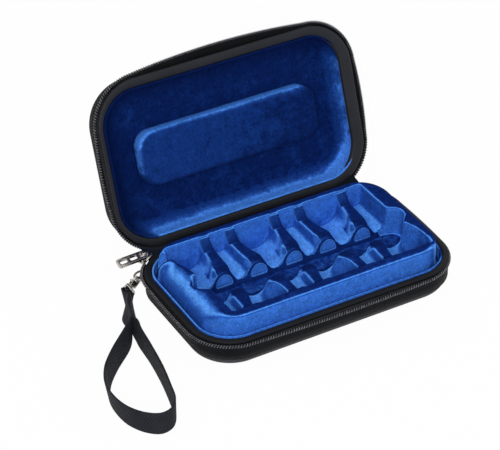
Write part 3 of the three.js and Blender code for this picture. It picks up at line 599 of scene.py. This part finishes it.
def band_grid(reach, flat, crown, narrower_left=0.0, wider_right=0.0, fuller_right=0.0):
    """A rolled band: flat against the shell, crowned on its outer side. The left side may be narrower at its
    outer edge, and the right side may be fuller and reach further in, over the lining."""
    rise = crown - flat
    left, right = np.clip(-mouth[:, 2], 0, 1), np.clip(mouth[:, 2], 0, 1)
    inner, outer = SHELL_IN - wider_right * right, reach - narrower_left * left
    out = []
    for across, up in band_rows():
        offset = inner + (outer - inner) * across
        height = flat + rise * up + math.copysign(fuller_right, rise) * right * up
        out.append(np.c_[mouth[:, 0] + mouth[:, 2] * offset, mouth[:, 1] + mouth[:, 3] * offset, height])
    return np.array(out)


base_grid = band_grid(reach=5.6, flat=BASE_RIM - BAND_HEIGHT, crown=BASE_RIM)
base_band = loft("base_band", base_grid, along=True)
dress(base_band, base_binding_shaded_cloth, "base", "base_binding", slot="binding")
lid_grid = band_grid(reach=7.2, flat=LID_RIM + BAND_HEIGHT, crown=LID_RIM,
                     narrower_left=2.8, wider_right=3.4, fuller_right=0.9)
lid_band = loft("lid_band", to_open(lid_grid), along=True)
dress(lid_band, lid_binding_lit_cloth, "lid", "lid_binding", slot="binding")


# Zips
TAPE = 0.9
TAPE_FOOT = 14.0
TAPE_PAST_COIL = 0.3
COIL_PITCH = 2.1
COIL_RADIUS = 0.78
COIL_WIRE = 0.42


def tape_rows(coil_reach, coil_height, up):
    """The tape climbs the shell from its sewn foot, bends, and leans out to the coil. The third value is the
    share of the side's bow, which grows towards the free edge."""
    free, foot, end = coil_height, coil_height - up * TAPE_FOOT, coil_reach + TAPE_PAST_COIL
    bend = free - up * (coil_reach - CLOTH_IN)
    outside, steps = CLOTH_IN + TAPE, 5
    middle = foot + (bend - foot) / 2
    rows = [(outside, foot, 0), (outside, middle, 0)]
    rows += [(outside, bend - up * 0.4, 0.03), (outside + 0.25, bend + up * 0.5, 0.12)]
    for k in range(1, steps + 1):
        s = k / steps
        rows.append((outside + (end - outside) * s, bend + (free - up * TAPE / 2 - bend) * s, s))
    for k in range(steps, 0, -1):
        s = k / steps
        start = bend + up * TAPE / 2
        rows.append((CLOTH_IN + (end - CLOTH_IN) * s, start + (free + up * TAPE / 2 - start) * s, s))
    return rows + [(CLOTH_IN, bend + up * 0.3, 0.03), (CLOTH_IN, middle, 0), (CLOTH_IN, foot, 0)]


def coil_grid(stations, reach, height, bows, per_turn=10, sides=6):
    """Nylon coil: wire wound round the tape's free edge, each turn a tooth."""
    line = rings(stations, [(reach, height, 1)], **bows)[0]
    dist = np.concatenate([[0], np.cumsum(np.linalg.norm(np.diff(line, axis=0), axis=1))])
    d = np.linspace(0, dist[-1], int(dist[-1] / COIL_PITCH) * per_turn + 1)
    centre = np.stack([np.interp(d, dist, line[:, k]) for k in range(3)], 1)
    normal = unit(np.stack([np.interp(d, dist, stations[:, k]) for k in (2, 3)] + [np.zeros(len(d))], 1))
    turn = (2 * math.pi * np.arange(len(d)) / per_turn)[:, None]
    helix = centre + COIL_RADIUS * (normal * np.cos(turn) + np.array([0, 0, 1.0]) * np.sin(turn))
    tangent = unit(np.gradient(helix, axis=0))
    across = unit(np.cross(tangent, centre - helix))
    other = np.cross(across, tangent)
    angles = [2 * math.pi * k / sides for k in range(sides)]
    return np.array([helix + COIL_WIRE * (math.cos(t) * across + math.sin(t) * other) for t in angles])


def zip_half(prefix, body, start, reach, height, up, place, bows):
    """A tape and its coil. place takes them from the closed case to where the body stands."""
    stations = zip_path(start)
    tape_grid = place(rings(stations, tape_rows(reach, height, up), **bows))
    tape = loft(f"{prefix}_tape", tape_grid, around=False, along=True)
    dress(tape, tape_cloth, body, f"{body}_zip_tape", slot="zip_tape")
    coil = loft(f"{prefix}_coil", place(coil_grid(stations, reach, height, bows)), around=False, along=True)
    dress(coil, coil_plastic, body, f"{body}_zip_coil", slot="zip_coil")


zip_half("lower", "base", start=131, reach=8.0, height=22.6, up=1, place=np.asarray,
         bows={"long_bow": 2.0, "short_bow": 0.8, "tuck_right": 2.6})
zip_half("upper", "lid", start=112, reach=10.4, height=33.0, up=-1, place=to_open,
         bows={"long_bow": 4.5, "short_bow": 1.5, "tuck_left": 3.6})


# Pad in the lid
def lid_pad():
    """Straight sides up from the lid's roof, a round shoulder and a slightly crowned face."""
    length, width, radius, edge, steps = 153.0, 43.0, 13.0, 4.2, 8
    face, roof = LID_RIM + 3.5, LID_ROOF - 1.9
    rows = [(0.0, roof), (0.15, roof - 4), (0.1, face + 6), (0.0, face + edge)]
    for k in range(1, steps + 1):
        t = math.pi / 2 * k / steps
        rows.append((-edge * (1 - math.cos(t)), face + edge * (1 - math.sin(t))))
    rows += [(-7, face - 0.12), (-10, face - 0.2), (-12.8, face - 0.25)]
    stations = closed_path(length, width, radius, steps=10, spacing=5.0)
    return loft("pad_velvet", to_open(rings(stations, rows)))


def pad_highlit(obj):
    """A little painted highlight, less and less towards the right."""
    highlight, fade_from, fade = 0.2, 70, 110
    paint_points(obj, "painted_highlight", highlight * smooth((fade_from - points_mm(obj)[0]) / fade))
    return obj


pad = dress(pad_highlit(lid_pad()), velvet_lid, "lid", "lid_pad", slot="velvet")


# The tray's block and how its edges are rounded
TRAY_TOP, TRAY_INSET, TRAY_STEP = 38.5, 4.6, 17.0
TRAY_FOOT_INSET, TRAY_UNDER, TRAY_FOOT_ROUND = 2.4, 5.3, 5.0
TRAY_RADIUS = MOUTH_RADIUS - TRAY_INSET
EDGE_REACH, EDGE_DROP = 3.0, 3.0
LEFT_REACH, LEFT_DROP = 13.5, 12.0
BACK_LEFT_REACH, BACK_LEFT_DROP, BACK_LEFT_Y, BACK_LEFT_FADE = 8.0, 7.0, 38.0, 12.0
CREASE_Y, CREASE_HALF, CREASE_DEPTH, CREASE_X, CREASE_FADE = 40.0, 4.0, 6.5, 80.0, 8.0
RIGHT_REACH, RIGHT_DROP = 7.0, 3.5

# The tray's pockets. The taper is in shares of the length from the cup's end and of the way from shank to cup
PITCH, POCKETS, POCKET_LENGTH = 30.0, 6, 90.0
POCKET_X, POCKET_Y = 1.5, 1.3
ROW_HALF, POCKET_HALF = PITCH * (POCKETS - 1) / 2, POCKET_LENGTH / 2
AXIS_Z = TRAY_TOP - 11.1
CUP, SHANK = 14.5, 6.2
TAPER_SHARES = [(0, 1), (0.1, 0.98), (0.22, 0.8), (0.31, 0.46), (0.39, 0.26), (0.55, 0.16), (0.78, 0.07),
                (1, 0)]
LIP, WALL = 1.5, 1.0

# The lands between the pockets, their arches at the finger channel, and the channel
LAND_Z, LAND_RISE_REACH, LAND_RISE_POWER = TRAY_TOP - 8.0, 9.0, 2.2
ARCH_REACH, ARCH_DROP = 9.0, 7.0
ARCH_Z, ARCH_HEIGHT = 19.5, 9.5
CHANNEL_Z, CHANNEL_HALF, CHANNEL_Y, CHANNEL_PAST_ROW = 17.0, 9.5, -1.5, 15.8
CHANNEL_END = ROW_HALF + CHANNEL_PAST_ROW - CHANNEL_HALF
CHANNEL_LIP, CHANNEL_WALL = 2.2, 1.4


def rounding(distance, reach, drop):
    """How far a surface has dropped this near to an edge that is rounded over."""
    return drop * (1 - np.sqrt(np.maximum(1 - (1 - np.clip(distance / reach, 0, 1)) ** 2, 0)))


def hermite(t, points):
    """Smooth curve through (place, value) points."""
    xs, ys = np.array(points, float).T
    slopes = np.gradient(ys, xs)
    i = np.clip(np.searchsorted(xs, t) - 1, 0, len(xs) - 2)
    h = xs[i + 1] - xs[i]
    u = np.clip((t - xs[i]) / h, 0, 1)
    return ((1 + 2 * u) * (1 - u) ** 2 * ys[i] + u * (1 - u) ** 2 * h * slopes[i]
            + u * u * (3 - 2 * u) * ys[i + 1] + u * u * (u - 1) * h * slopes[i + 1])


def pocket_radius(i, y):
    """Every other pocket is turned round, so that the cups lie head to tail."""
    from_cup = POCKET_HALF - (y - POCKET_Y) * (1 if i % 2 == 0 else -1)
    return SHANK + (CUP - SHANK) * hermite(from_cup / POCKET_LENGTH, TAPER_SHARES)


def pocket_x(i):
    return POCKET_X + PITCH * (i - (POCKETS - 1) / 2)


def across_land(i, x, y):
    """How far each point is from the middle of the land after pocket i, in half widths of the land."""
    left, right = pocket_x(i) + pocket_radius(i, y), pocket_x(i + 1) - pocket_radius(i + 1, y)
    return (x - (left + right) / 2) / ((right - left) / 2)


def from_channel(y):
    return np.abs(y - CHANNEL_Y) - CHANNEL_HALF


def crown(x, y):
    """The block's top, rounded over at its outline, more widely at its two ends."""
    qx, qy = np.abs(x) - CORNER_X, np.abs(y) - CORNER_Y
    at_corner = (qx > 0) & (qy > 0)
    from_centre = np.hypot(np.maximum(qx, 0), np.maximum(qy, 0))
    to_side = np.minimum(TRAY_RADIUS - qx, TRAY_RADIUS - qy)
    distance = np.where(at_corner, TRAY_RADIUS - from_centre, to_side)
    turned_to_end = (np.maximum(qx, 0) / np.maximum(from_centre, 1e-6)) ** 3
    by_end = np.where(at_corner, turned_to_end, (qx > qy) * 1.0)
    front = smooth((BACK_LEFT_Y - y) / BACK_LEFT_FADE)
    end_reach = np.where(x < 0, BACK_LEFT_REACH + (LEFT_REACH - BACK_LEFT_REACH) * front, RIGHT_REACH)
    end_drop = np.where(x < 0, BACK_LEFT_DROP + (LEFT_DROP - BACK_LEFT_DROP) * front, RIGHT_DROP)
    reach = EDGE_REACH + (end_reach - EDGE_REACH) * by_end
    drop = EDGE_DROP + (end_drop - EDGE_DROP) * by_end
    near_left = smooth((-x - CREASE_X) / CREASE_FADE)
    crease = CREASE_DEPTH * np.exp(-((y - CREASE_Y) / CREASE_HALF) ** 2) * near_left
    return TRAY_TOP - rounding(distance, reach, drop) - crease


def lands(x, y):
    """The lowered lands between pockets. They sweep up to the frame at both rows' far ends, and are arched
    at the channel."""
    to_frame = np.minimum(POCKET_Y + POCKET_HALF - y, y - POCKET_Y + POCKET_HALF)
    swept = np.clip(1 - to_frame / LAND_RISE_REACH, 0, 1) ** LAND_RISE_POWER
    height = LAND_Z + (TRAY_TOP - LAND_Z) * swept
    arched = 1 - smooth(from_channel(y) / ARCH_REACH)
    for i in range(POCKETS - 1):
        u = np.clip(np.abs(across_land(i, x, y)), 0, 1)
        here = (x > pocket_x(i)) & (x <= pocket_x(i + 1))
        height = np.where(here, height - arched * ARCH_DROP * (1 - np.sqrt(1 - u ** 2)), height)
    inside = (np.abs(x - POCKET_X) < ROW_HALF) & (np.abs(y - POCKET_Y) < POCKET_HALF)
    return inside, height


def sunk(surface, inside_by, floor, lip, wall):
    """Sinks a hollow into a surface. inside_by is how far inside the hollow's outline each point is."""
    lowered = surface - rounding(-inside_by, lip, lip)
    hollow = floor + np.maximum(lowered - floor, 0) * (1 - smooth(inside_by / wall))
    return np.where(inside_by > 0, hollow, lowered)


def tray_surface(x, y):
    inside, low = lands(x, y)
    top = np.minimum(crown(x, y), np.where(inside, low, TRAY_TOP))
    nearest = np.full(x.shape, -1e3)
    floor = np.full(x.shape, TRAY_TOP)
    for i in range(POCKETS):
        radius = pocket_radius(i, y)
        across = np.abs(x - pocket_x(i))
        inside_by = np.minimum(radius - across, POCKET_HALF - np.abs(y - POCKET_Y))
        hollow = AXIS_Z - np.sqrt(np.maximum(radius ** 2 - across ** 2, 0))
        floor = np.where(inside_by > 0, hollow, floor)
        nearest = np.maximum(nearest, inside_by)
    troughs = sunk(top, nearest, floor, LIP, WALL)
    to_line = np.hypot(np.maximum(np.abs(x - POCKET_X) - CHANNEL_END, 0), y - CHANNEL_Y)
    return sunk(troughs, CHANNEL_HALF - to_line, np.full(x.shape, CHANNEL_Z), CHANNEL_LIP, CHANNEL_WALL)


def tray_plan(corner_rows=60, side_rows=130, columns=420):
    """Points over the tray's outline, in rows that are as wide as it is there."""
    upper = CORNER_Y + TRAY_RADIUS * np.sin(np.radians(np.linspace(90, 0, corner_rows)))
    rows_y = np.concatenate([upper, np.linspace(CORNER_Y, -CORNER_Y, side_rows)[1:-1], -upper[::-1]])
    past_corner = np.maximum(np.abs(rows_y) - CORNER_Y, 0) / TRAY_RADIUS
    rows_x = CORNER_X + TRAY_RADIUS * np.sqrt(np.maximum(1 - past_corner ** 2, 0))
    return rows_x[:, None] * np.linspace(-1, 1, columns), np.repeat(rows_y[:, None], columns, 1)


def tray():
    """The surface with its side hung from its outline. A remesh evens it out, and a few passes soften it."""
    overlap, toe_in, toe_up, voxel, passes = 0.2, 2.0, 1.0, 0.8, 10
    x, y = tray_plan()
    m, n = x.shape
    top = np.stack([x, y, tray_surface(x, y)], -1).reshape(-1, 3)
    starts = [i * n + j for i in range(m - 1) for j in range(n - 1)]
    faces = [(q, q + 1, q + n + 1, q + n) for q in starts]
    edge = list(range(n)) + [i * n + n - 1 for i in range(1, m)]
    edge += [(m - 1) * n + j for j in range(n - 2, -1, -1)] + [i * n for i in range(m - 2, 0, -1)]
    rim = top[edge]
    outward = unit(rim[:, :2] - np.clip(rim[:, :2], (-CORNER_X, -CORNER_Y), (CORNER_X, CORNER_Y)))
    grow = TRAY_INSET - TRAY_FOOT_INSET
    skirt = [(0.0, TRAY_STEP + TRAY_INSET + overlap), (grow, TRAY_STEP), (grow, TRAY_UNDER + TRAY_FOOT_ROUND),
             (grow - toe_in, TRAY_UNDER + toe_up), (grow - TRAY_FOOT_ROUND, TRAY_UNDER)]
    points, last, count = [top], edge, len(top)
    for offset, z in skirt:
        points.append(np.c_[rim[:, :2] + outward * offset, np.full(len(rim), z)])
        ring = list(range(count, count + len(edge)))
        count += len(edge)
        faces += list(zip(last, last[1:] + last[:1], ring[1:] + ring[:1], ring))
        last = ring
    faces.append(tuple(last))
    obj = make_mesh("tray_velvet", np.concatenate(points), faces)
    remesh = obj.modifiers.new("remesh", "REMESH")
    remesh.mode = "VOXEL"
    remesh.voxel_size = voxel * MM
    remesh.use_smooth_shade = True
    even = obj.modifiers.new("even", "SMOOTH")
    even.factor = 0.5
    even.iterations = passes
    return apply_modifiers(obj)


# Painted light on the tray: how much painted highlight and painted shade it gets, and where that begins and
# fades
BED_HIGHLIGHT, HIGHLIT = 0.27, 0.2
BED_LEFT, BED_LEFT_FADE, BED_RIGHT, BED_RIGHT_FADE = -0.8, 0.3, 0.85, 0.2
BED_END, BED_CHANNEL, BED_END_FADE = 1.0, -0.5, 2.0
FLOOR_HIGHLIGHT, FLOOR_TOP = 0.06, CHANNEL_Z + 0.8
SWEEP_SHADE, ARCH_SHADE, WALL_SHADE, SHADE_FADE = 0.9, 0.85, 0.95, 1.5
POCKET_EDGE, RIDGE_HALF, ARCH_FOOT = 1.02, 2.0, LAND_Z - 8
WALL_REACH, WALL_TOP, LEVEL, LEVEL_FADE = 2.5, LAND_Z + 1, 0.9997, 0.004


def pocket_places(x, y):
    """How much painted highlight the troughs get, which points are in a pocket, and which are on the ridge at
    its right."""
    to_end = POCKET_HALF - np.abs(y - POCKET_Y)
    highlight, in_pocket, on_ridge = np.zeros(len(x)), np.zeros(len(x), bool), np.zeros(len(x), bool)
    for i in range(POCKETS):
        across = (x - pocket_x(i)) / pocket_radius(i, y)
        in_pocket |= (np.abs(across) < POCKET_EDGE) & (to_end > 0)
        on_ridge |= np.abs(x - pocket_x(i) - pocket_radius(i, y)) < RIDGE_HALF
        bed = smooth((across - BED_LEFT) / BED_LEFT_FADE) * smooth((BED_RIGHT - across) / BED_RIGHT_FADE)
        bed = bed * smooth((to_end - BED_END) / BED_END_FADE)
        bed = bed * smooth((from_channel(y) - BED_CHANNEL) / BED_END_FADE)
        highlight = np.maximum(highlight, BED_HIGHLIGHT * bed)
    return highlight, in_pocket, on_ridge


def lit_faces(x, y, z):
    """The half-round faces on the channel's wall, one under each land."""
    edge, above_floor, fade = 0.2, 1.0, 4
    lit = np.zeros(len(x))
    for i in range(POCKETS - 1):
        up = np.maximum(z - ARCH_Z, 0) / ARCH_HEIGHT
        lit = np.maximum(lit, smooth((1.0 - np.hypot(across_land(i, x, y), up)) / edge))
    return lit * smooth((z - CHANNEL_Z - above_floor) / fade)


def channel_wall_shade(obj, x, y, z):
    """Painted shade on the channel's wall below the lands, but for its lit faces."""
    normals = np.empty(len(x) * 3, np.float32)
    obj.data.vertices.foreach_get("normal", normals)
    steep = smooth((LEVEL - normals[2::3]) / LEVEL_FADE) * (np.abs(x - POCKET_X) < ROW_HALF)
    near = steep * smooth((WALL_REACH - from_channel(y)) / SHADE_FADE) * smooth(WALL_TOP - z)
    return WALL_SHADE * near * (1 - lit_faces(x, y, z))


def tray_painted(obj):
    """Painted highlight in the troughs and a little on the channel's floor. Painted shade on the sweeps,
    along the arches and on the channel's wall."""
    x, y, z = points_mm(obj)
    off_channel, to_end = from_channel(y), POCKET_HALF - np.abs(y - POCKET_Y)
    highlight, in_pocket, on_ridge = pocket_places(x, y)
    on_land = lands(x, y)[0] & ~in_pocket
    on_sweep = on_land & (to_end < LAND_RISE_REACH)
    shaded = np.where(on_sweep, SWEEP_SHADE * smooth((TRAY_TOP - z) / SHADE_FADE), 0.0)
    by_arch = on_land & ~on_ridge & (off_channel > 0) & (off_channel < ARCH_REACH) & (z > ARCH_FOOT)
    shaded = np.where(by_arch, np.maximum(shaded, ARCH_SHADE * smooth(off_channel / SHADE_FADE)), shaded)
    shaded = np.where(highlight > HIGHLIT, shaded, np.maximum(shaded, channel_wall_shade(obj, x, y, z)))
    in_channel = (off_channel < 0) & (np.abs(x - POCKET_X) < CHANNEL_END + CHANNEL_HALF)
    highlight = np.where((z < FLOOR_TOP) & in_channel, FLOOR_HIGHLIGHT, highlight)
    paint_points(obj, "painted_highlight", highlight)
    paint_points(obj, "painted_shade", shaded)
    return obj


dress(tray_painted(tray()), velvet_base, "base", "tray_insert", slot="velvet")


# Hinge cloth: one strip over the fold line
def hinge_cloth():
    """From the base's back over the fold line to the lid's back, its ends turned into both corners."""
    thickness, stations = 0.8, hinge_path(turn=33)
    lower = [(4.4, 12.6), (4.4, 15), (4.45, 18), (4.8, 19.8), (5.5, 20.6), (6.3, 21.4), (7.0, 22.0),
             (8.2, 22.6)]
    upper = [(7.9, 24.0), (8.0, 27), (8.0, 30), (7.9, 33), (7.3, 35.4), (5.8, 37.4), (4.6, 38.8), (4.4, 41),
             (4.4, 44.0)]
    grid = np.concatenate([rings(stations, lower), to_open(rings(stations, upper))])
    for _ in range(2):
        grid[1:-1] = (grid[:-2] + 2 * grid[1:-1] + grid[2:]) / 4
    obj = loft("hinge_cloth", grid, around=False, caps=False)
    refine = obj.modifiers.new("refine", "SUBSURF")
    refine.levels = 2
    thick = obj.modifiers.new("thick", "SOLIDIFY")
    thick.thickness = thickness * MM
    thick.offset = 0
    return apply_modifiers(obj)


hinge = hinge_cloth()
hinge.data.materials.append(gusset_cloth)
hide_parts("hinge_cloth_base", "hinge_cloth_lid")
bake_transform(hinge)


# Small cloth and metal pieces
def softened(name, new_name, material, body, slot, width=0.0004, segments=2, swell=0.0):
    """A copy of the frame's own piece with its edges broken. width and swell are in metres."""
    obj = new_object(new_name, frame["nodes"][name].data.copy())
    bm = bmesh.new()
    bm.from_mesh(obj.data)
    bmesh.ops.remove_doubles(bm, verts=bm.verts, dist=1e-6)
    bmesh.ops.dissolve_limit(bm, angle_limit=math.radians(4), verts=bm.verts, edges=bm.edges)
    bm.to_mesh(obj.data)
    bm.free()
    if swell:
        fuller = obj.modifiers.new("fuller", "DISPLACE")
        fuller.mid_level = 0
        fuller.strength = swell
    bevel = obj.modifiers.new("bevel", "BEVEL")
    bevel.width = width
    bevel.segments = segments
    bevel.limit_method = "ANGLE"
    bevel.angle_limit = math.radians(35)
    obj.modifiers.new("weighted", "WEIGHTED_NORMAL").keep_sharp = True
    return dress(apply_modifiers(obj), material, body, name, slot=slot)


softened("zip_end_left", "zip_end_cloth_left", tape_cloth, "base", "zip_tape")
softened("zip_end_right", "zip_end_cloth_right", tape_cloth, "base", "zip_tape")
softened("ring_tab", "ring_loop", strap_webbing, "base", "webbing")
softened("zip_slider", "slider", nickel, "slider", "nickel", width=0.0002)
softened("zip_pull", "pull_tab", nickel, "pull", "nickel", width=0.0003, segments=3, swell=0.0004)
softened("strap_ring", "ring", nickel, "ring", "nickel", width=0.0001)
softened("hook_body", "hook", nickel, "hook", "nickel", width=0.0001)
softened("hook_bolt", "bolt", nickel, "bolt", "nickel", width=0.0002, swell=-0.0001)
softened("swivel_eye", "eye", nickel, "eye", "nickel", width=0.0001)


# Wrist strap
STRAP_THICKNESS, STRAP_LIFT, STRAP_SAMPLES = 1.5, 0.3, 14
BAR = np.array(joints["strap_swing"]["pos_m"]) / MM
BAR_OUT = np.array(joints["eye_swivel"]["axis"])
BAR_UP = np.array(joints["strap_swing"]["axis"])
BAR_SIDE = np.cross(BAR_UP, BAR_OUT)
BAR_FOLD_RADIUS, BAR_FOLD_WIDTH = 1.85, 10.4

# The route from the eye's bar round the loop and back: along X, along Y, lean in degrees, width
STRAP_ROUTE = [
    (-3.4, 0.7, 12, 12), (-5.6, -4.6, 8, 13.5), (-6.8, -12.3, -4, 16), (-13.4, -21.6, -14, 19),
    (-17.2, -38.2, -3, 19), (-21.9, -45.8, 5, 19), (-29.4, -54.1, 12, 19), (-47.4, -70.5, 11, 19),
    (-60.0, -85.0, 10, 19), (-67.3, -100.4, 9, 19), (-68.9, -115.4, 8, 19), (-66.3, -130.4, 5, 19),
    (-58.9, -142.8, 2, 19), (-49.9, -148.8, 0, 19), (-40.9, -147, 0, 19), (-33.9, -138.4, 0, 19),
    (-29.9, -124.4, 0, 19), (-24.9, -102.4, 0, 19), (-20.9, -76.4, 0, 19), (-18.8, -56.3, 3, 19),
    (-17.1, -47.8, 5, 19), (-16.1, -38.0, -1, 19), (-9.7, -25.8, -12, 19), (-4.2, -13.8, -6, 16),
    (-2.8, -7, -16, 13),
]


def catmull(points, per):
    """Closed centripetal curve through the points, evenly many samples in each stretch."""
    out = []
    for i in range(len(points)):
        p0, p1, p2, p3 = (points[(i + k) % len(points)] for k in (-1, 0, 1, 2))
        t0 = 0.0
        t1 = t0 + np.linalg.norm(p1 - p0) ** 0.5
        t2 = t1 + np.linalg.norm(p2 - p1) ** 0.5
        t3 = t2 + np.linalg.norm(p3 - p2) ** 0.5
        for k in range(per):
            t = t1 + (t2 - t1) * k / per
            a1 = (t1 - t) / (t1 - t0) * p0 + (t - t0) / (t1 - t0) * p1
            a2 = (t2 - t) / (t2 - t1) * p1 + (t - t1) / (t2 - t1) * p2
            a3 = (t3 - t) / (t3 - t2) * p2 + (t - t2) / (t3 - t2) * p3
            b1 = (t2 - t) / (t2 - t0) * a1 + (t - t0) / (t2 - t0) * a2
            b2 = (t3 - t) / (t3 - t1) * a2 + (t - t1) / (t3 - t1) * a3
            out.append((t2 - t) / (t2 - t1) * b1 + (t - t1) / (t2 - t1) * b2)
    return np.array(out)


def strap_stations():
    """Middles of the band, directions across it and widths: round the eye's bar, then along the route."""
    out = []
    for share in (-1, -0.5, 0, 0.5, 1):
        turn = share * math.pi / 2
        middle = BAR - BAR_FOLD_RADIUS * (BAR_OUT * math.cos(turn) + BAR_SIDE * math.sin(turn))
        out.append((middle, BAR_UP, BAR_FOLD_WIDTH))
    for i, (dx, dy, lean, width) in enumerate(STRAP_ROUTE):
        before, after = STRAP_ROUTE[max(i - 1, 0)], STRAP_ROUTE[min(i + 1, len(STRAP_ROUTE) - 1)]
        heading = np.array([after[0] - before[0], after[1] - before[1], 0.0])
        heading /= np.linalg.norm(heading)
        tilt = math.radians(lean)
        leaning = np.array([heading[1], -heading[0], 0.0]) * math.sin(tilt)
        height = STRAP_LIFT + (width * math.cos(tilt) + STRAP_THICKNESS * abs(math.sin(tilt))) / 2
        middle = np.array([BAR[0] + dx, BAR[1] + dy, height])
        out.append((middle, leaning + np.array([0, 0, math.cos(tilt)]), width))
    return out


def strap():
    """The section is in shares of the width and of the thickness, with the woven edges drawn in."""
    stations = strap_stations()
    lower = catmull([middle - across * width / 2 for middle, across, width in stations], STRAP_SAMPLES)
    upper = catmull([middle + across * width / 2 for middle, across, width in stations], STRAP_SAMPLES)
    along = np.roll(lower + upper, -1, 0) - np.roll(lower + upper, 1, 0)
    out = unit(np.cross(along, upper - lower))
    flat = [(0.05 + 0.9 * k / 10, 1.0) for k in range(11)]
    section = [(0.0, 0.45), (0.02, 0.85)] + flat + [(0.98, 0.85), (1.0, 0.45)]
    half = STRAP_THICKNESS / 2
    front = [lower + (upper - lower) * s + out * half * w for s, w in section]
    rear = [lower + (upper - lower) * s - out * half * w for s, w in section[::-1]]
    return loft("strap_band", np.array(front + rear), along=True)


band = dress(strap(), strap_webbing, None, "wrist_strap", slot="webbing")
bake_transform(band)


# Floor, backdrop and light
def seen_directly(tree):
    light_path = node(tree, "ShaderNodeLightPath")
    seen = maths(tree, "MAXIMUM", light_path.outputs["Is Camera Ray"], light_path.outputs["Is Glossy Ray"])
    return maths(tree, "MAXIMUM", seen, light_path.outputs["Is Transmission Ray"])


def floor():
    size, below, brightness = 6.0, 0.0002, 0.97
    mesh = bpy.data.meshes.new("floor")
    corners = [(-size, -size, 0), (size, -size, 0), (size, size, 0), (-size, size, 0)]
    mesh.from_pydata(corners, [], [(0, 1, 2, 3)])
    obj = new_object("floor", mesh)
    obj.location.z = -below
    material, tree, shader = new_material("floor_white")
    set_inputs(shader, {"Base Color": (0.9, 0.9, 0.9, 1), "Roughness": 0.9, "Specular IOR Level": 0.0})
    glow = node(tree, "ShaderNodeEmission", {"Color": (1, 1, 1, 1), "Strength": 1.0})
    mix = node(tree, "ShaderNodeMixShader")
    tree.links.new(times(tree, seen_directly(tree), brightness), mix.inputs[0])
    tree.links.new(shader.outputs["BSDF"], mix.inputs[1])
    tree.links.new(glow.outputs["Emission"], mix.inputs[2])
    tree.links.new(mix.outputs["Shader"], tree.nodes["Material Output"].inputs["Surface"])
    mesh.materials.append(material)


def world():
    """White where the camera sees it, and dimmer in what it lights."""
    ambient = 0.35
    studio = bpy.data.worlds.new("studio")
    studio.use_nodes = True
    bpy.context.scene.world = studio
    tree = studio.node_tree
    background = tree.nodes["Background"]
    background.inputs["Color"].default_value = (1, 1, 1, 1)
    strength = added(tree, times(tree, seen_directly(tree), 1 - ambient), ambient)
    tree.links.new(strength, background.inputs["Strength"])


def lamp(name, place, aim, size, power):
    data = bpy.data.lights.new(name, "AREA")
    data.shape = "RECTANGLE"
    data.size, data.size_y = size
    data.energy = power
    obj = new_object(name, data)
    direction = Vector(place) - Vector(aim)
    obj.matrix_world = Matrix.Translation(place) @ direction.to_track_quat("Z", "Y").to_matrix().to_4x4()


floor()
world()
lamp("key", place=(-1.2, -1.65, 1.3), aim=(0, 0, 0.05), size=(1.0, 1.0), power=31)
lamp("fill", place=(1.5, -1.2, 1.1), aim=(0, 0, 0.05), size=(1.2, 1.2), power=7)
lamp("top", place=(0, 0.4, 2.0), aim=(0, 0, 0), size=(1.4, 1.4), power=8)

bpy.context.scene.view_settings.view_transform = "Standard"
